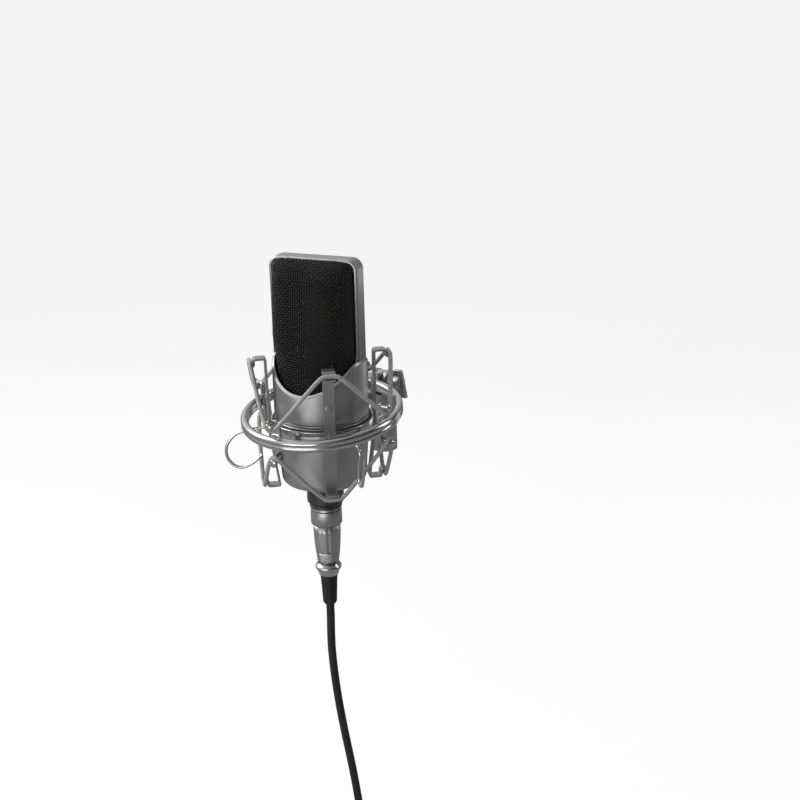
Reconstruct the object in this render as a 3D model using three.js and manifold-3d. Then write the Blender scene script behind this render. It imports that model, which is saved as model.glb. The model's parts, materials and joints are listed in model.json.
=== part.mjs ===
// Side-address condenser microphone in a spider shock mount, with its swivel and its lead.
// Millimetres, +Z up. The origin is the centre of the bottom face of the swivel's stand socket,
// and the microphone hangs on the -Y side of it. Azimuths are measured from -Y towards +X.

import * as THREE from 'three';
import { mergeVertices } from 'three/addons/utils/BufferGeometryUtils.js';
import Module from 'manifold-3d';

const wasm = await Module();
wasm.setup();

const { degToRad } = THREE.MathUtils;
const QUARTER_TURN = Math.PI / 2;

// ---- Driving dimensions ----------------------------------------------------------------------

const GAP = 0.3; // clearance between pieces that touch
const ROUND_STEPS = 40; // facets around a large turned part
const SMALL_STEPS = 20; // facets around a small turned part

const PIVOT_HEIGHT = 44;
const ARM_REACH = 62; // from the pivot to the axis of the rings
const ARM_RISE = 5; // the rings' middle plane lies this far above the pivot
const RING_DROOP = degToRad(6.5); // the rings sink a little towards the front
const MIC_YAW = degToRad(12); // the microphone's front, from -Y towards +X

const RING_RADIUS = 44.8; // to the middle of the ring's section
const BEAD_RADIUS = 2.2; // the section is two round beads, one above the other
const BEAD_HEIGHT = 1.4; // of each bead's centre above or below the middle
const BRACKET_THICKNESS = 1.5;
const BRACKET_OUTER = RING_RADIUS - BEAD_RADIUS - GAP;
const BRACKET_INNER = BRACKET_OUTER - BRACKET_THICKNESS;
const BRACKET_WIDTH = 6;
const BRACKET_HALF_HEIGHT = 13;
const PIN_RADIUS = 1.4;
const PIN_HEAD_RADIUS = 2.3;
const UPPER_PIN_HEIGHT = 11;
const LOWER_PIN_HEIGHT = -11;
const ELASTIC_RADIUS = 1.3;
const ELASTIC_PIN_REACH = 46.1; // distance of the elastic from the axis where it rounds a pin

const POST_WIDTH = 6.6;
const POST_THICKNESS = 1.2;
const POST_TOP = 35.3;
const POST_BOTTOM = -41.8;
const POST_UPPER_BEND = 31.2; // distances from the axis at which the hooks start
const POST_LOWER_BEND = 26.4;
const UPPER_HOOK_REACH = 37.8;
const LOWER_HOOK_REACH = 33.4;
const HOOK_RETURN = 3.8; // each hook turns back towards the rings by this much
const HOOK_CURL = 3.2; // and then outwards, under the elastic
const POST_AZIMUTHS = [45, 135, 225, 315];
const BRACKET_AZIMUTHS = [0, 90, 180, 270];

const BODY_RADIUS = 27.4;
const BODY_WALL = 2;
const BODY_FOOT_RADIUS = 24.8;
const BODY_FOOT = -41;
const FOOT_ROUNDING = 4;
const SHOULDER_HEIGHT = 34.5;
const CUT_RADIUS = 29.3; // the U-shaped cut is part of a circle
const CUT_LOWEST = 18.3;
const SEAM_HALF_HEIGHT = 0.6;
const DECK_HEIGHT = 16;

const HEAD_HALF_WIDTH = 27;
const HEAD_TOP = 92;
const HEAD_DEPTH = 10;
const HEAD_BAND = 1.8;
const HEAD_CORNER = 6;
const HEAD_TONGUE = 24.6; // half width of the legs where they stand inside the body
const HEAD_LEG_TAPER = 4; // height over which the legs' inside widens above the body
const GRILLE_RADIUS = 25;
const GRILLE_WALL = 1.6; // woven face and its coarser lining together
const GRILLE_TOP = 91.5;
const GRILLE_CORNER = 4; // rounding of the top, seen from the front
const GRILLE_LOW_DEPTH = 0.97; // front-to-back squeeze of the grille at the deck
const GRILLE_HIGH_DEPTH = 0.66; // and where it starts to round over towards the arch
const GRILLE_TURN_HEIGHT = 78;
const GRILLE_EDGE_DEPTH = 0.2; // share of its depth that the grille keeps at the top
const GRILLE_ROUND_HEIGHT = 35; // its section is round up to here, to fit inside the body
const GRILLE_SQUARE_HEIGHT = 48; // and squarer from here up
const GRILLE_SQUARENESS = 1; // added to the power 2 of a round section
const GRILLE_SECTIONS = [GRILLE_ROUND_HEIGHT, 39, 43.5, GRILLE_SQUARE_HEIGHT, 63, GRILLE_TURN_HEIGHT, 83];
const CAPSULE_HEIGHT = 61;
const CAPSULE_RADIUS = 17;
const CAPSULE_BORE = 14.2;
const CAPSULE_HALF_DEPTH = 4.5;
const FILM_THICKNESS = 0.3;
const FILM_RADIUS = 16.6;
const SADDLE_THICKNESS = 2.6;
const SADDLE_DEPTH = 6;
const SADDLE_POST_RADIUS = 2.8;
const SADDLE_FOOT_RADIUS = 9;
const SADDLE_FOOT_THICKNESS = 3;
const DECK_THICKNESS = 2;

const BASE_PLATE_RADIUS = 19.6;
const BASE_PLATE_THICKNESS = 2;
const RAIL_THICKNESS = 2;
const RAIL_DEPTH = 8;
const RAIL_OFFSET = 17.5;
const BOARD_SIZE = [32, 1.6, 44];
const BOARD_PLACE = [0, 0, -10];
const TRANSFORMER_SIZE = [18, 13, 22];
const TRANSFORMER_PLACE = [0, -7.6, -19];
const CAPACITOR_RADIUS = 5;
const CAPACITOR_LENGTH = 18;
const CAPACITOR_PLACE = [0, 6.2, 2];

const COLLAR_FLANGE_RADIUS = 12.2;
const COLLAR_FLANGE_FOOT = -47.2;
const COLLAR_RADIUS = 10.9;
const COLLAR_TIP_RADIUS = 9.6;
const COLLAR_BORE = 8.3;
const COLLAR_FOOT = -58;
const SOCKET_FLOOR = -46; // the contacts stand on this
const CONTACT_RADIUS = 1.2;
const CONTACT_CIRCLE = 4;
const SWITCH_HEIGHT = -20;
const SWITCH_AZIMUTH = 16; // each side of the rear
const SWITCH_TRAVEL = 5; // both switches rest at the top of their travel
const SWITCH_WINDOW = [8, 3.8, 9.4]; // deep, wide and high
const SWITCH_KNOB = [5, 3, 3.6];
const SWITCH_KNOB_REACH = 25.4; // distance of its middle from the axis
const SWITCH_COVER = [1, 5.6, 7.6];
const SWITCH_COVER_REACH = 22.9;

const PLUG_TOP = -60; // top of the plug's outside, below the nose that enters the collar
const NOSE_TOP = -48.5;
const SLEEVE_RADIUS = 9.3;
const SLEEVE_BORE = 7.2;
const SLEEVE_FOOT = -68.6;
const LATCH_AZIMUTH = 210;
const LATCH_PLACE = [9, 0, -64.4]; // outwards, sideways and up
const SHELL_FOOT = -94.6;
const BUSHING_FOOT = -102.6;
const BUSHING_RADIUS = 7.9;
const BUSHING_NECK = 6.4;
const BUSHING_CHAMFER = 1.5;
const BOOT_FOOT = -122.4;
const BOOT_WIDE = 5.2;
const BOOT_NARROW = 4;

const BAND_TOP = -2;
const BAND_FOOT = -10;
const BAND_INNER = BODY_RADIUS + 1.4;
const BAND_OUTER = BAND_INNER + 1;
const POST_MIDDLE = BAND_OUTER + GAP + POST_THICKNESS / 2;
const HANDLE_WIRE = 0.95;
const LEFT_HANDLE_AZIMUTH = 298;
const RIGHT_HANDLE_AZIMUTH = 66;
// Each handle's wire in its upright plane: distance from the microphone's axis, height.
const LEFT_HANDLE_ROUTE = [
  [31, -8], [36, -10], [44, -11.6], [52, -14.6], [57.5, -22], [57, -30], [51, -35], [43, -32.5],
  [36.5, -26.5],
];
const RIGHT_HANDLE_ROUTE = [
  [31, -8], [36, -8.4], [40.5, -9.6], [42.4, -13], [41, -19], [40, -25], [40.6, -30.5],
  [42.8, -32], [44.6, -28], [46, -21], [46.8, -14],
];

const SOCKET_RADIUS = 8;
const SOCKET_BORE = 6.6;
const SOCKET_HEIGHT = 24;
const SOCKET_ROOF = 3; // thickness of metal above the bore
const THREAD_RADIUS = 4.76; // 3/8 inch microphone stand thread
const FORK_RADIUS = 7;
const FORK_FOOT_WIDTH = 10;
const FORK_HALF_WIDTH = 6.2;
const TONGUE_HALF_WIDTH = 2.8;
const BOLT_RADIUS = 3;
const BOLT_BORE = 3.3;
const NUT_RADIUS = 6;
const NUT_LENGTH = 5.8;
const WASHER_THICKNESS = 1.5;
const KNOB_START = FORK_HALF_WIDTH + WASHER_THICKNESS + 2 * GAP;
const KNOB_HUB_RADIUS = 4.6;
const KNOB_HUB_LENGTH = 5.8;
const WING_THICKNESS = 2.6;
// Outline of the wing: out from the hub's start, and up from the pivot.
const WING_OUTLINE = [[0.2, -4.6], [3.4, -8.8], [9.4, -8.8], [6, 8.4], [0.2, 8.4]];

const CABLE_RADIUS = 2.5;
const CABLE_AZIMUTH = 34; // the lead hangs in one upright plane, at right angles to this
const COIL_RADIUS = 28; // middle of the coil's turns
const COIL_BUNDLE = 10; // half the thickness of the bundle of turns
const COIL_CLEARANCE = 30.5; // from the coil's centre up to the lead's end, and down to the boot
// The lead's route in its plane: sideways from the microphone's axis, height above the rings.
const CABLE_ROUTE = [
  [0, -122.7], [0, -132], [-0.2, -142], [-0.2, -152], [0.3, -163], [1.2, -175], [2.5, -188],
  [4.1, -201], [5.9, -214], [7.9, -227], [9.8, -240], [11.4, -252], [12.8, -264], [13.8, -272],
  [14.2, -283],
];
const CONNECTOR_RADIUS = 9.4;
const CONNECTOR_LENGTH = 50;
const CONNECTOR_BOOT = 20;
const CONNECTOR_BORE = 8;
const CONNECTOR_BORE_DEPTH = 15;
const CONNECTOR_STRAIGHT = 24; // length of the shell before it tapers
const CONNECTOR_NECK = 6.3;

// ---- Geometry helpers ------------------------------------------------------------------------

// A solid turned about Z from [radius, height] pairs that run anticlockwise.
function turned(profile, steps = ROUND_STEPS) {
  const points = profile.map(([radius, height]) => new THREE.Vector2(radius, height));
  return new THREE.LatheGeometry(points, steps).rotateX(QUARTER_TURN);
}

function disc(radius, bottom, top, steps) {
  return turned([[0, bottom], [radius, bottom], [radius, top], [0, top]], steps);
}

function sleeve(inner, outer, bottom, top, steps) {
  const wall = [[inner, bottom], [outer, bottom], [outer, top], [inner, top], [inner, bottom]];
  return turned(wall, steps);
}

function block(width, depth, height, x, y, z) {
  return new THREE.BoxGeometry(width, depth, height).translate(x, y, z);
}

// Lays a shape's x and y along the part's X and Z, with its thickness centred on Y.
function standAlongY(geometry, thickness) {
  return geometry.rotateX(QUARTER_TURN).translate(0, thickness / 2, 0);
}

// Lays a shape's x and y along the part's Y and Z, with its thickness centred on X.
function standAlongX(geometry, thickness) {
  return geometry.rotateX(QUARTER_TURN).rotateZ(QUARTER_TURN).translate(-thickness / 2, 0, 0);
}

function extruded(shape, thickness, curveSegments = 6) {
  return new THREE.ExtrudeGeometry(shape, { depth: thickness, bevelEnabled: false, curveSegments });
}

// Turns geometry built along +X, so that it points at an azimuth.
function facing(geometry, azimuth) {
  return geometry.rotateZ(degToRad(azimuth - 90));
}

function atAzimuth(azimuth, radius, sideways, height) {
  const point = new THREE.Vector3(radius, sideways, height);
  return point.applyAxisAngle(new THREE.Vector3(0, 0, 1), degToRad(azimuth - 90));
}

// Outline of a flat strip bent along [x, y] points.
function stripShape(points, thickness) {
  const line = points.map(([x, y]) => new THREE.Vector2(x, y));
  const offsetSide = (side) => line.map((point, index) => {
    const before = line[Math.max(index - 1, 0)];
    const after = line[Math.min(index + 1, line.length - 1)];
    const incoming = (index > 0 ? point.clone().sub(before) : after.clone().sub(point)).normalize();
    const outgoing = (index < line.length - 1 ? after.clone().sub(point) : incoming.clone()).normalize();
    const mitre = incoming.clone().add(outgoing).normalize();
    const normal = new THREE.Vector2(-mitre.y, mitre.x);
    const stretch = 1 / Math.max(mitre.dot(incoming), 0.3);
    return normal.multiplyScalar(side * stretch * thickness / 2).add(point);
  });
  return new THREE.Shape([...offsetSide(-1), ...offsetSide(1).reverse()]);
}

// A curve that passes straight from point to point, with one tube section at each point.
class PointPath extends THREE.Curve {
  constructor(points, closed = false) {
    super();
    this.points = points;
    this.closed = closed;
    this.spans = closed ? points.length : points.length - 1;
  }

  vertex(index) {
    const count = this.points.length;
    return this.closed ? this.points[(index + count) % count] : this.points[index];
  }

  getPoint(t, target = new THREE.Vector3()) {
    const place = Math.min(Math.max(t, 0), 1) * this.spans;
    const index = Math.min(Math.floor(place), this.spans - 1);
    return target.lerpVectors(this.vertex(index), this.vertex(index + 1), place - index);
  }

  getPointAt(t, target) {
    return this.getPoint(t, target);
  }

  getTangentAt(t, target = new THREE.Vector3()) {
    const index = Math.round(t * this.spans);
    const hasBefore = this.closed || index > 0;
    const hasAfter = this.closed || index < this.spans;
    target.set(0, 0, 0);
    if (hasBefore) target.add(this.vertex(index).clone().sub(this.vertex(index - 1)).normalize());
    if (hasAfter) target.add(this.vertex(index + 1).clone().sub(this.vertex(index)).normalize());
    return target.normalize();
  }
}

// A round rod with closed ends along a list of points.
function rodThrough(points, radius, sides) {
  const section = new THREE.Shape();
  section.absarc(0, 0, radius, 0, 2 * Math.PI, false);
  const outline = new THREE.Shape(section.getSpacedPoints(sides).slice(0, sides));
  const path = new PointPath(points);
  return new THREE.ExtrudeGeometry(outline, { steps: points.length - 1, extrudePath: path });
}

// A round cord closed into a loop along a list of points.
function loopThrough(points, radius, sides) {
  return new THREE.TubeGeometry(new PointPath(points, true), points.length, radius, sides, true);
}

function smoothed(points, steps) {
  return new THREE.CatmullRomCurve3(points, false, 'centripetal').getSpacedPoints(steps);
}

function toSolid(geometry) {
  const bare = geometry.clone();
  bare.deleteAttribute('normal');
  bare.deleteAttribute('uv');
  const welded = mergeVertices(bare, 1e-3);
  const index = Array.from(welded.index.array);
  const triangles = [];
  for (let start = 0; start < index.length; start += 3) {
    const corners = index.slice(start, start + 3);
    if (new Set(corners).size === 3) triangles.push(...corners);
  }
  return new wasm.Manifold(new wasm.Mesh({
    numProp: 3,
    vertProperties: new Float32Array(welded.attributes.position.array),
    triVerts: new Uint32Array(triangles),
  }));
}

function toGeometry(solid) {
  const { vertProperties, triVerts } = solid.getMesh();
  const geometry = new THREE.BufferGeometry();
  geometry.setAttribute('position', new THREE.BufferAttribute(vertProperties, 3));
  geometry.setIndex(new THREE.BufferAttribute(triVerts, 1));
  geometry.computeVertexNormals();
  return geometry;
}

function joined(first, ...others) {
  return toGeometry(others.reduce((solid, other) => solid.add(toSolid(other)), toSolid(first)));
}

function cut(geometry, ...tools) {
  return toGeometry(tools.reduce((solid, tool) => solid.subtract(toSolid(tool)), toSolid(geometry)));
}

function overlapOf(first, second) {
  return toGeometry(toSolid(first).intersect(toSolid(second)));
}

// ---- Materials and assembly ------------------------------------------------------------------

const FINISHES = {
  satinNickel: { color: 0x9b9b98, roughness: 0.38, metalness: 1 },
  chrome: { color: 0xd8d8d6, roughness: 0.12, metalness: 1 },
  darkMetal: { color: 0x3a3a3b, roughness: 0.45, metalness: 1 },
  blackMesh: { color: 0x101011, roughness: 0.5, metalness: 0.6 },
  brass: { color: 0xb9985a, roughness: 0.3, metalness: 1 },
  goldFilm: { color: 0xd9b36c, roughness: 0.2, metalness: 1 },
  blackPlastic: { color: 0x161617, roughness: 0.5, metalness: 0 },
  circuitGreen: { color: 0x20452c, roughness: 0.5, metalness: 0 },
  steel: { color: 0x8d8f92, roughness: 0.35, metalness: 1 },
  greyElastic: { color: 0xa5a5a2, roughness: 0.85, metalness: 0 },
  blackRubber: { color: 0x151515, roughness: 0.8, metalness: 0 },
  cableJacket: { color: 0x1c1c1c, roughness: 0.6, metalness: 0 },
  feltLiner: { color: 0x2a2a2a, roughness: 0.95, metalness: 0 },
};

const assembly = new THREE.Group();
const ringCentre = new THREE.Vector3(0, -ARM_REACH, ARM_RISE)
  .applyAxisAngle(new THREE.Vector3(1, 0, 0), RING_DROOP)
  .add(new THREE.Vector3(0, 0, PIVOT_HEIGHT));

function groupAt(position, turnX = 0, turnZ = 0) {
  const group = new THREE.Group();
  group.position.copy(position);
  group.rotation.set(turnX, 0, turnZ);
  assembly.add(group);
  return group;
}

const swivelGroup = groupAt(new THREE.Vector3(0, 0, 0));
const ringGroup = groupAt(ringCentre, RING_DROOP);
const cradleGroup = groupAt(ringCentre);
const micGroup = groupAt(ringCentre, 0, MIC_YAW);

function addPiece(group, name, geometry, finish) {
  const mesh = new THREE.Mesh(geometry, new THREE.MeshStandardMaterial(FINISHES[finish]));
  mesh.name = name;
  group.add(mesh);
}

// ---- Microphone head -------------------------------------------------------------------------

// The rounded upper corner on one side of the arch's outline, from the leg round to the top.
function archSide(side, halfWidth, topHeight, corner) {
  const points = [];
  for (let step = 0; step <= 5; step += 1) {
    const angle = QUARTER_TURN * step / 5;
    const x = halfWidth - corner + corner * Math.cos(angle);
    points.push(new THREE.Vector2(side * x, topHeight - corner + corner * Math.sin(angle)));
  }
  return points;
}

function headFrame() {
  const tongueInner = HEAD_TONGUE - HEAD_BAND;
  const innerHalf = HEAD_HALF_WIDTH - HEAD_BAND;
  const foot = DECK_HEIGHT + GAP;
  const ledge = SHOULDER_HEIGHT + GAP;
  const legOutside = (side) => [
    new THREE.Vector2(side * HEAD_TONGUE, foot),
    new THREE.Vector2(side * HEAD_TONGUE, ledge),
    new THREE.Vector2(side * HEAD_HALF_WIDTH, ledge),
  ];
  const legInside = (side) => [
    new THREE.Vector2(side * tongueInner, foot),
    new THREE.Vector2(side * tongueInner, ledge + HEAD_BAND),
    new THREE.Vector2(side * innerHalf, ledge + HEAD_LEG_TAPER),
  ];
  const outer = [
    ...legOutside(1), ...archSide(1, HEAD_HALF_WIDTH, HEAD_TOP, HEAD_CORNER),
    ...archSide(-1, HEAD_HALF_WIDTH, HEAD_TOP, HEAD_CORNER).reverse(), ...legOutside(-1).reverse(),
  ];
  const innerTop = HEAD_TOP - HEAD_BAND;
  const innerCorner = HEAD_CORNER - HEAD_BAND;
  const inner = [
    ...legInside(-1), ...archSide(-1, innerHalf, innerTop, innerCorner),
    ...archSide(1, innerHalf, innerTop, innerCorner).reverse(), ...legInside(1).reverse(),
  ];
  return standAlongY(extruded(new THREE.Shape([...outer, ...inner]), HEAD_DEPTH), HEAD_DEPTH);
}

// Share of the grille's depth that is left at a height: it leans in, then rounds over to the arch.
function grilleDepth(height) {
  const foot = DECK_HEIGHT + GAP;
  const rise = Math.min((height - foot) / (GRILLE_TURN_HEIGHT - foot), 1);
  const leaning = THREE.MathUtils.lerp(GRILLE_LOW_DEPTH, GRILLE_HIGH_DEPTH, rise);
  const over = Math.max((height - GRILLE_TURN_HEIGHT) / (GRILLE_TOP - GRILLE_TURN_HEIGHT), 0);
  const rounding = Math.sqrt(Math.max(1 - over * over, 0));
  return leaning * THREE.MathUtils.lerp(GRILLE_EDGE_DEPTH, 1, rounding);
}

// Moves a point of a round section out to a section of a higher power, squarer at its corners.
function squaredOff(x, y, height) {
  const band = GRILLE_SQUARE_HEIGHT - GRILLE_ROUND_HEIGHT;
  const share = THREE.MathUtils.clamp((height - GRILLE_ROUND_HEIGHT) / band, 0, 1);
  const power = 2 + GRILLE_SQUARENESS * share;
  const radius = Math.hypot(x, y);
  if (radius === 0) return [0, 0];
  const sum = Math.abs(x / radius) ** power + Math.abs(y / radius) ** power;
  const growth = sum ** (-1 / power);
  return [x * growth, y * growth];
}

// The grille's surface: a cup whose depth shrinks towards the top.
function grilleCup() {
  const foot = DECK_HEIGHT + GAP;
  const wall = (radius, top, corner) => {
    const points = [foot, ...GRILLE_SECTIONS].map((height) => [radius, height]);
    for (let step = 0; step <= 5; step += 1) {
      const angle = QUARTER_TURN * step / 5;
      const side = radius - corner + corner * Math.cos(angle);
      points.push([side, top - corner + corner * Math.sin(angle)]);
    }
    points.push([0, top]);
    return points;
  };
  const outer = wall(GRILLE_RADIUS, GRILLE_TOP, GRILLE_CORNER);
  const innerCorner = GRILLE_CORNER - GRILLE_WALL;
  const inner = wall(GRILLE_RADIUS - GRILLE_WALL, GRILLE_TOP - GRILLE_WALL, innerCorner).reverse();
  const cup = turned([...outer, ...inner, outer[0]], 48);
  const place = cup.attributes.position;
  for (let index = 0; index < place.count; index += 1) {
    const height = place.getZ(index);
    const [x, y] = squaredOff(place.getX(index), place.getY(index), height);
    place.setXYZ(index, x, y * grilleDepth(height), height);
  }
  return cup;
}

function addHead() {
  addPiece(micGroup, 'head_frame', headFrame(), 'satinNickel');
  const size = 240; // larger than the whole head
  const middle = (HEAD_DEPTH + size) / 2 + GAP;
  const halfSpace = (side) => block(size, size, size, 0, side * middle, 0);
  addPiece(micGroup, 'front_grille', overlapOf(grilleCup(), halfSpace(-1)), 'blackMesh');
  addPiece(micGroup, 'rear_grille', overlapOf(grilleCup(), halfSpace(1)), 'blackMesh');
}

// ---- Capsule ---------------------------------------------------------------------------------

// A disc or ring with its axis along Y, centred on the capsule.
function capsuleTurning(geometry) {
  return geometry.rotateX(QUARTER_TURN).translate(0, 0, CAPSULE_HEIGHT);
}

// A yoke under the capsule's ring, on a post with a round foot.
function capsuleSaddle() {
  const [yokeStart, yokeEnd] = [degToRad(205), degToRad(335)];
  const shape = new THREE.Shape();
  shape.absarc(0, 0, CAPSULE_RADIUS + SADDLE_THICKNESS, yokeStart, yokeEnd, false);
  shape.absarc(0, 0, CAPSULE_RADIUS + GAP, yokeEnd, yokeStart, true);
  const yoke = standAlongY(extruded(shape, SADDLE_DEPTH, 12), SADDLE_DEPTH);
  yoke.translate(0, 0, CAPSULE_HEIGHT);
  const bottom = DECK_HEIGHT + GAP;
  const postTop = CAPSULE_HEIGHT - CAPSULE_RADIUS - 1;
  const post = disc(SADDLE_POST_RADIUS, bottom + 1, postTop, SMALL_STEPS);
  const foot = disc(SADDLE_FOOT_RADIUS, bottom, bottom + SADDLE_FOOT_THICKNESS, SMALL_STEPS);
  return joined(yoke, post, foot);
}

function addCapsule() {
  const ringBlank = sleeve(CAPSULE_BORE, CAPSULE_RADIUS, -CAPSULE_HALF_DEPTH, CAPSULE_HALF_DEPTH, 32);
  addPiece(micGroup, 'capsule_ring', capsuleTurning(ringBlank), 'brass');
  const plateHalfDepth = CAPSULE_HALF_DEPTH - 0.9;
  const plate = disc(CAPSULE_BORE - GAP, -plateHalfDepth, plateHalfDepth, 32);
  addPiece(micGroup, 'capsule_backplate', capsuleTurning(plate), 'brass');
  const near = CAPSULE_HALF_DEPTH + GAP;
  const far = near + FILM_THICKNESS;
  const frontFilm = capsuleTurning(disc(FILM_RADIUS, near, far, 32));
  const rearFilm = capsuleTurning(disc(FILM_RADIUS, -far, -near, 32));
  addPiece(micGroup, 'front_diaphragm', frontFilm, 'goldFilm');
  addPiece(micGroup, 'rear_diaphragm', rearFilm, 'goldFilm');
  addPiece(micGroup, 'capsule_saddle', capsuleSaddle(), 'blackPlastic');
  const deckRadius = BODY_RADIUS - BODY_WALL - GAP;
  const deck = disc(deckRadius, DECK_HEIGHT - DECK_THICKNESS, DECK_HEIGHT);
  addPiece(micGroup, 'capsule_deck', deck, 'steel');
}

// ---- Microphone body -------------------------------------------------------------------------

function lowerBody() {
  const hole = 9.5;
  const top = -SEAM_HALF_HEIGHT - GAP;
  const floor = BODY_FOOT + BODY_WALL;
  const profile = [[hole, BODY_FOOT]];
  for (let step = 0; step <= 5; step += 1) {
    const angle = QUARTER_TURN * (step / 5 - 1);
    profile.push([
      BODY_FOOT_RADIUS - FOOT_ROUNDING * (1 - Math.cos(angle)),
      BODY_FOOT + FOOT_ROUNDING * (1 + Math.sin(angle)),
    ]);
  }
  profile.push([BODY_RADIUS, top], [BODY_RADIUS - BODY_WALL, top]);
  profile.push([BODY_FOOT_RADIUS - BODY_WALL, BODY_FOOT + FOOT_ROUNDING]);
  profile.push([BODY_FOOT_RADIUS - FOOT_ROUNDING, floor], [hole, floor], [hole, BODY_FOOT]);
  return turned(profile, 48);
}

function switchPlaced(geometry, side) {
  return facing(geometry, 180 + side * SWITCH_AZIMUTH).translate(0, 0, SWITCH_HEIGHT);
}

// A small knob on a plate that covers the window from inside.
function switchKnob() {
  const knob = block(...SWITCH_KNOB, SWITCH_KNOB_REACH, 0, 0);
  const coverPlate = block(...SWITCH_COVER, SWITCH_COVER_REACH, 0, 0);
  return joined(knob, coverPlate).translate(0, 0, SWITCH_TRAVEL / 2);
}

function addBody() {
  const shell = sleeve(BODY_RADIUS - BODY_WALL, BODY_RADIUS, SEAM_HALF_HEIGHT + GAP, SHOULDER_HEIGHT, 48);
  const cutter = new THREE.CylinderGeometry(CUT_RADIUS, CUT_RADIUS, 80, 64);
  cutter.translate(0, 0, CUT_LOWEST + CUT_RADIUS);
  addPiece(micGroup, 'upper_body', cut(shell, cutter), 'satinNickel');
  const seam = sleeve(BODY_RADIUS - BODY_WALL, BODY_RADIUS - 0.4, -SEAM_HALF_HEIGHT, SEAM_HALF_HEIGHT);
  addPiece(micGroup, 'seam_ring', seam, 'satinNickel');
  const windows = [-1, 1].map((side) => switchPlaced(block(...SWITCH_WINDOW, 25, 0, 0), side));
  addPiece(micGroup, 'lower_body', cut(lowerBody(), ...windows), 'satinNickel');
  addPiece(micGroup, 'pad_switch', switchPlaced(switchKnob(), -1), 'blackPlastic');
  addPiece(micGroup, 'low_cut_switch', switchPlaced(switchKnob(), 1), 'blackPlastic');
}

function addChassis() {
  const plateFoot = BODY_FOOT + BODY_WALL + GAP;
  const plateTop = plateFoot + BASE_PLATE_THICKNESS;
  addPiece(micGroup, 'base_plate', disc(BASE_PLATE_RADIUS, plateFoot, plateTop, 32), 'steel');
  const railFoot = plateTop + GAP;
  const railTop = DECK_HEIGHT - DECK_THICKNESS - GAP;
  const railHeight = railTop - railFoot;
  for (const [name, side] of [['left', -1], ['right', 1]]) {
    const middle = [side * RAIL_OFFSET, 0, railFoot + railHeight / 2];
    const rail = block(RAIL_THICKNESS, RAIL_DEPTH, railHeight, ...middle);
    addPiece(micGroup, `chassis_rail_${name}`, rail, 'steel');
  }
  addPiece(micGroup, 'circuit_board', block(...BOARD_SIZE, ...BOARD_PLACE), 'circuitGreen');
  addPiece(micGroup, 'transformer_can', block(...TRANSFORMER_SIZE, ...TRANSFORMER_PLACE), 'steel');
  const upright = disc(CAPACITOR_RADIUS, -CAPACITOR_LENGTH / 2, CAPACITOR_LENGTH / 2, SMALL_STEPS);
  const capacitor = upright.rotateY(QUARTER_TURN).translate(...CAPACITOR_PLACE);
  addPiece(micGroup, 'coupling_capacitor', capacitor, 'blackPlastic');
}

function contactPlaces() {
  return [30, 150, 270].map((angle) => [
    CONTACT_CIRCLE * Math.cos(degToRad(angle)),
    CONTACT_CIRCLE * Math.sin(degToRad(angle)),
  ]);
}

function addSocket() {
  const top = BODY_FOOT - GAP;
  const collar = turned([
    [COLLAR_BORE, COLLAR_FOOT], [COLLAR_TIP_RADIUS, COLLAR_FOOT],
    [COLLAR_TIP_RADIUS, COLLAR_FOOT + 2.5], [COLLAR_RADIUS, COLLAR_FOOT + 3.5],
    [COLLAR_RADIUS, COLLAR_FLANGE_FOOT], [COLLAR_FLANGE_RADIUS, COLLAR_FLANGE_FOOT + 0.6],
    [COLLAR_FLANGE_RADIUS, top], [COLLAR_BORE, top], [COLLAR_BORE, COLLAR_FOOT],
  ]);
  addPiece(micGroup, 'base_collar', collar, 'darkMetal');
  const insert = disc(COLLAR_BORE - GAP, SOCKET_FLOOR, top - GAP, 24);
  addPiece(micGroup, 'socket_insert', insert, 'blackPlastic');
  contactPlaces().forEach(([x, y], index) => {
    const pin = disc(CONTACT_RADIUS, COLLAR_FOOT + 1, SOCKET_FLOOR - GAP, 12).translate(x, y, 0);
    addPiece(micGroup, `contact_pin_${index + 1}`, pin, 'brass');
  });
}

// ---- Plug and lead ---------------------------------------------------------------------------

function plugSleeve() {
  const noseRadius = COLLAR_BORE - 0.35;
  const wall = turned([
    [SLEEVE_BORE, SLEEVE_FOOT], [SLEEVE_RADIUS, SLEEVE_FOOT], [SLEEVE_RADIUS, PLUG_TOP],
    [noseRadius, PLUG_TOP], [noseRadius, NOSE_TOP], [SLEEVE_BORE, NOSE_TOP],
    [SLEEVE_BORE, SLEEVE_FOOT],
  ]);
  const latchWindow = block(5, 4.8, 6.6, ...LATCH_PLACE);
  return cut(wall, facing(latchWindow, LATCH_AZIMUTH));
}

// The body with its three contact holes, which the pins of the microphone enter.
function plugInsert() {
  const holes = contactPlaces().map(([x, y]) => disc(1.6, PLUG_TOP, -40, 12).translate(x, y, 0));
  return cut(disc(SLEEVE_BORE - GAP, SLEEVE_FOOT + 1, NOSE_TOP, 24), ...holes);
}

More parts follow.
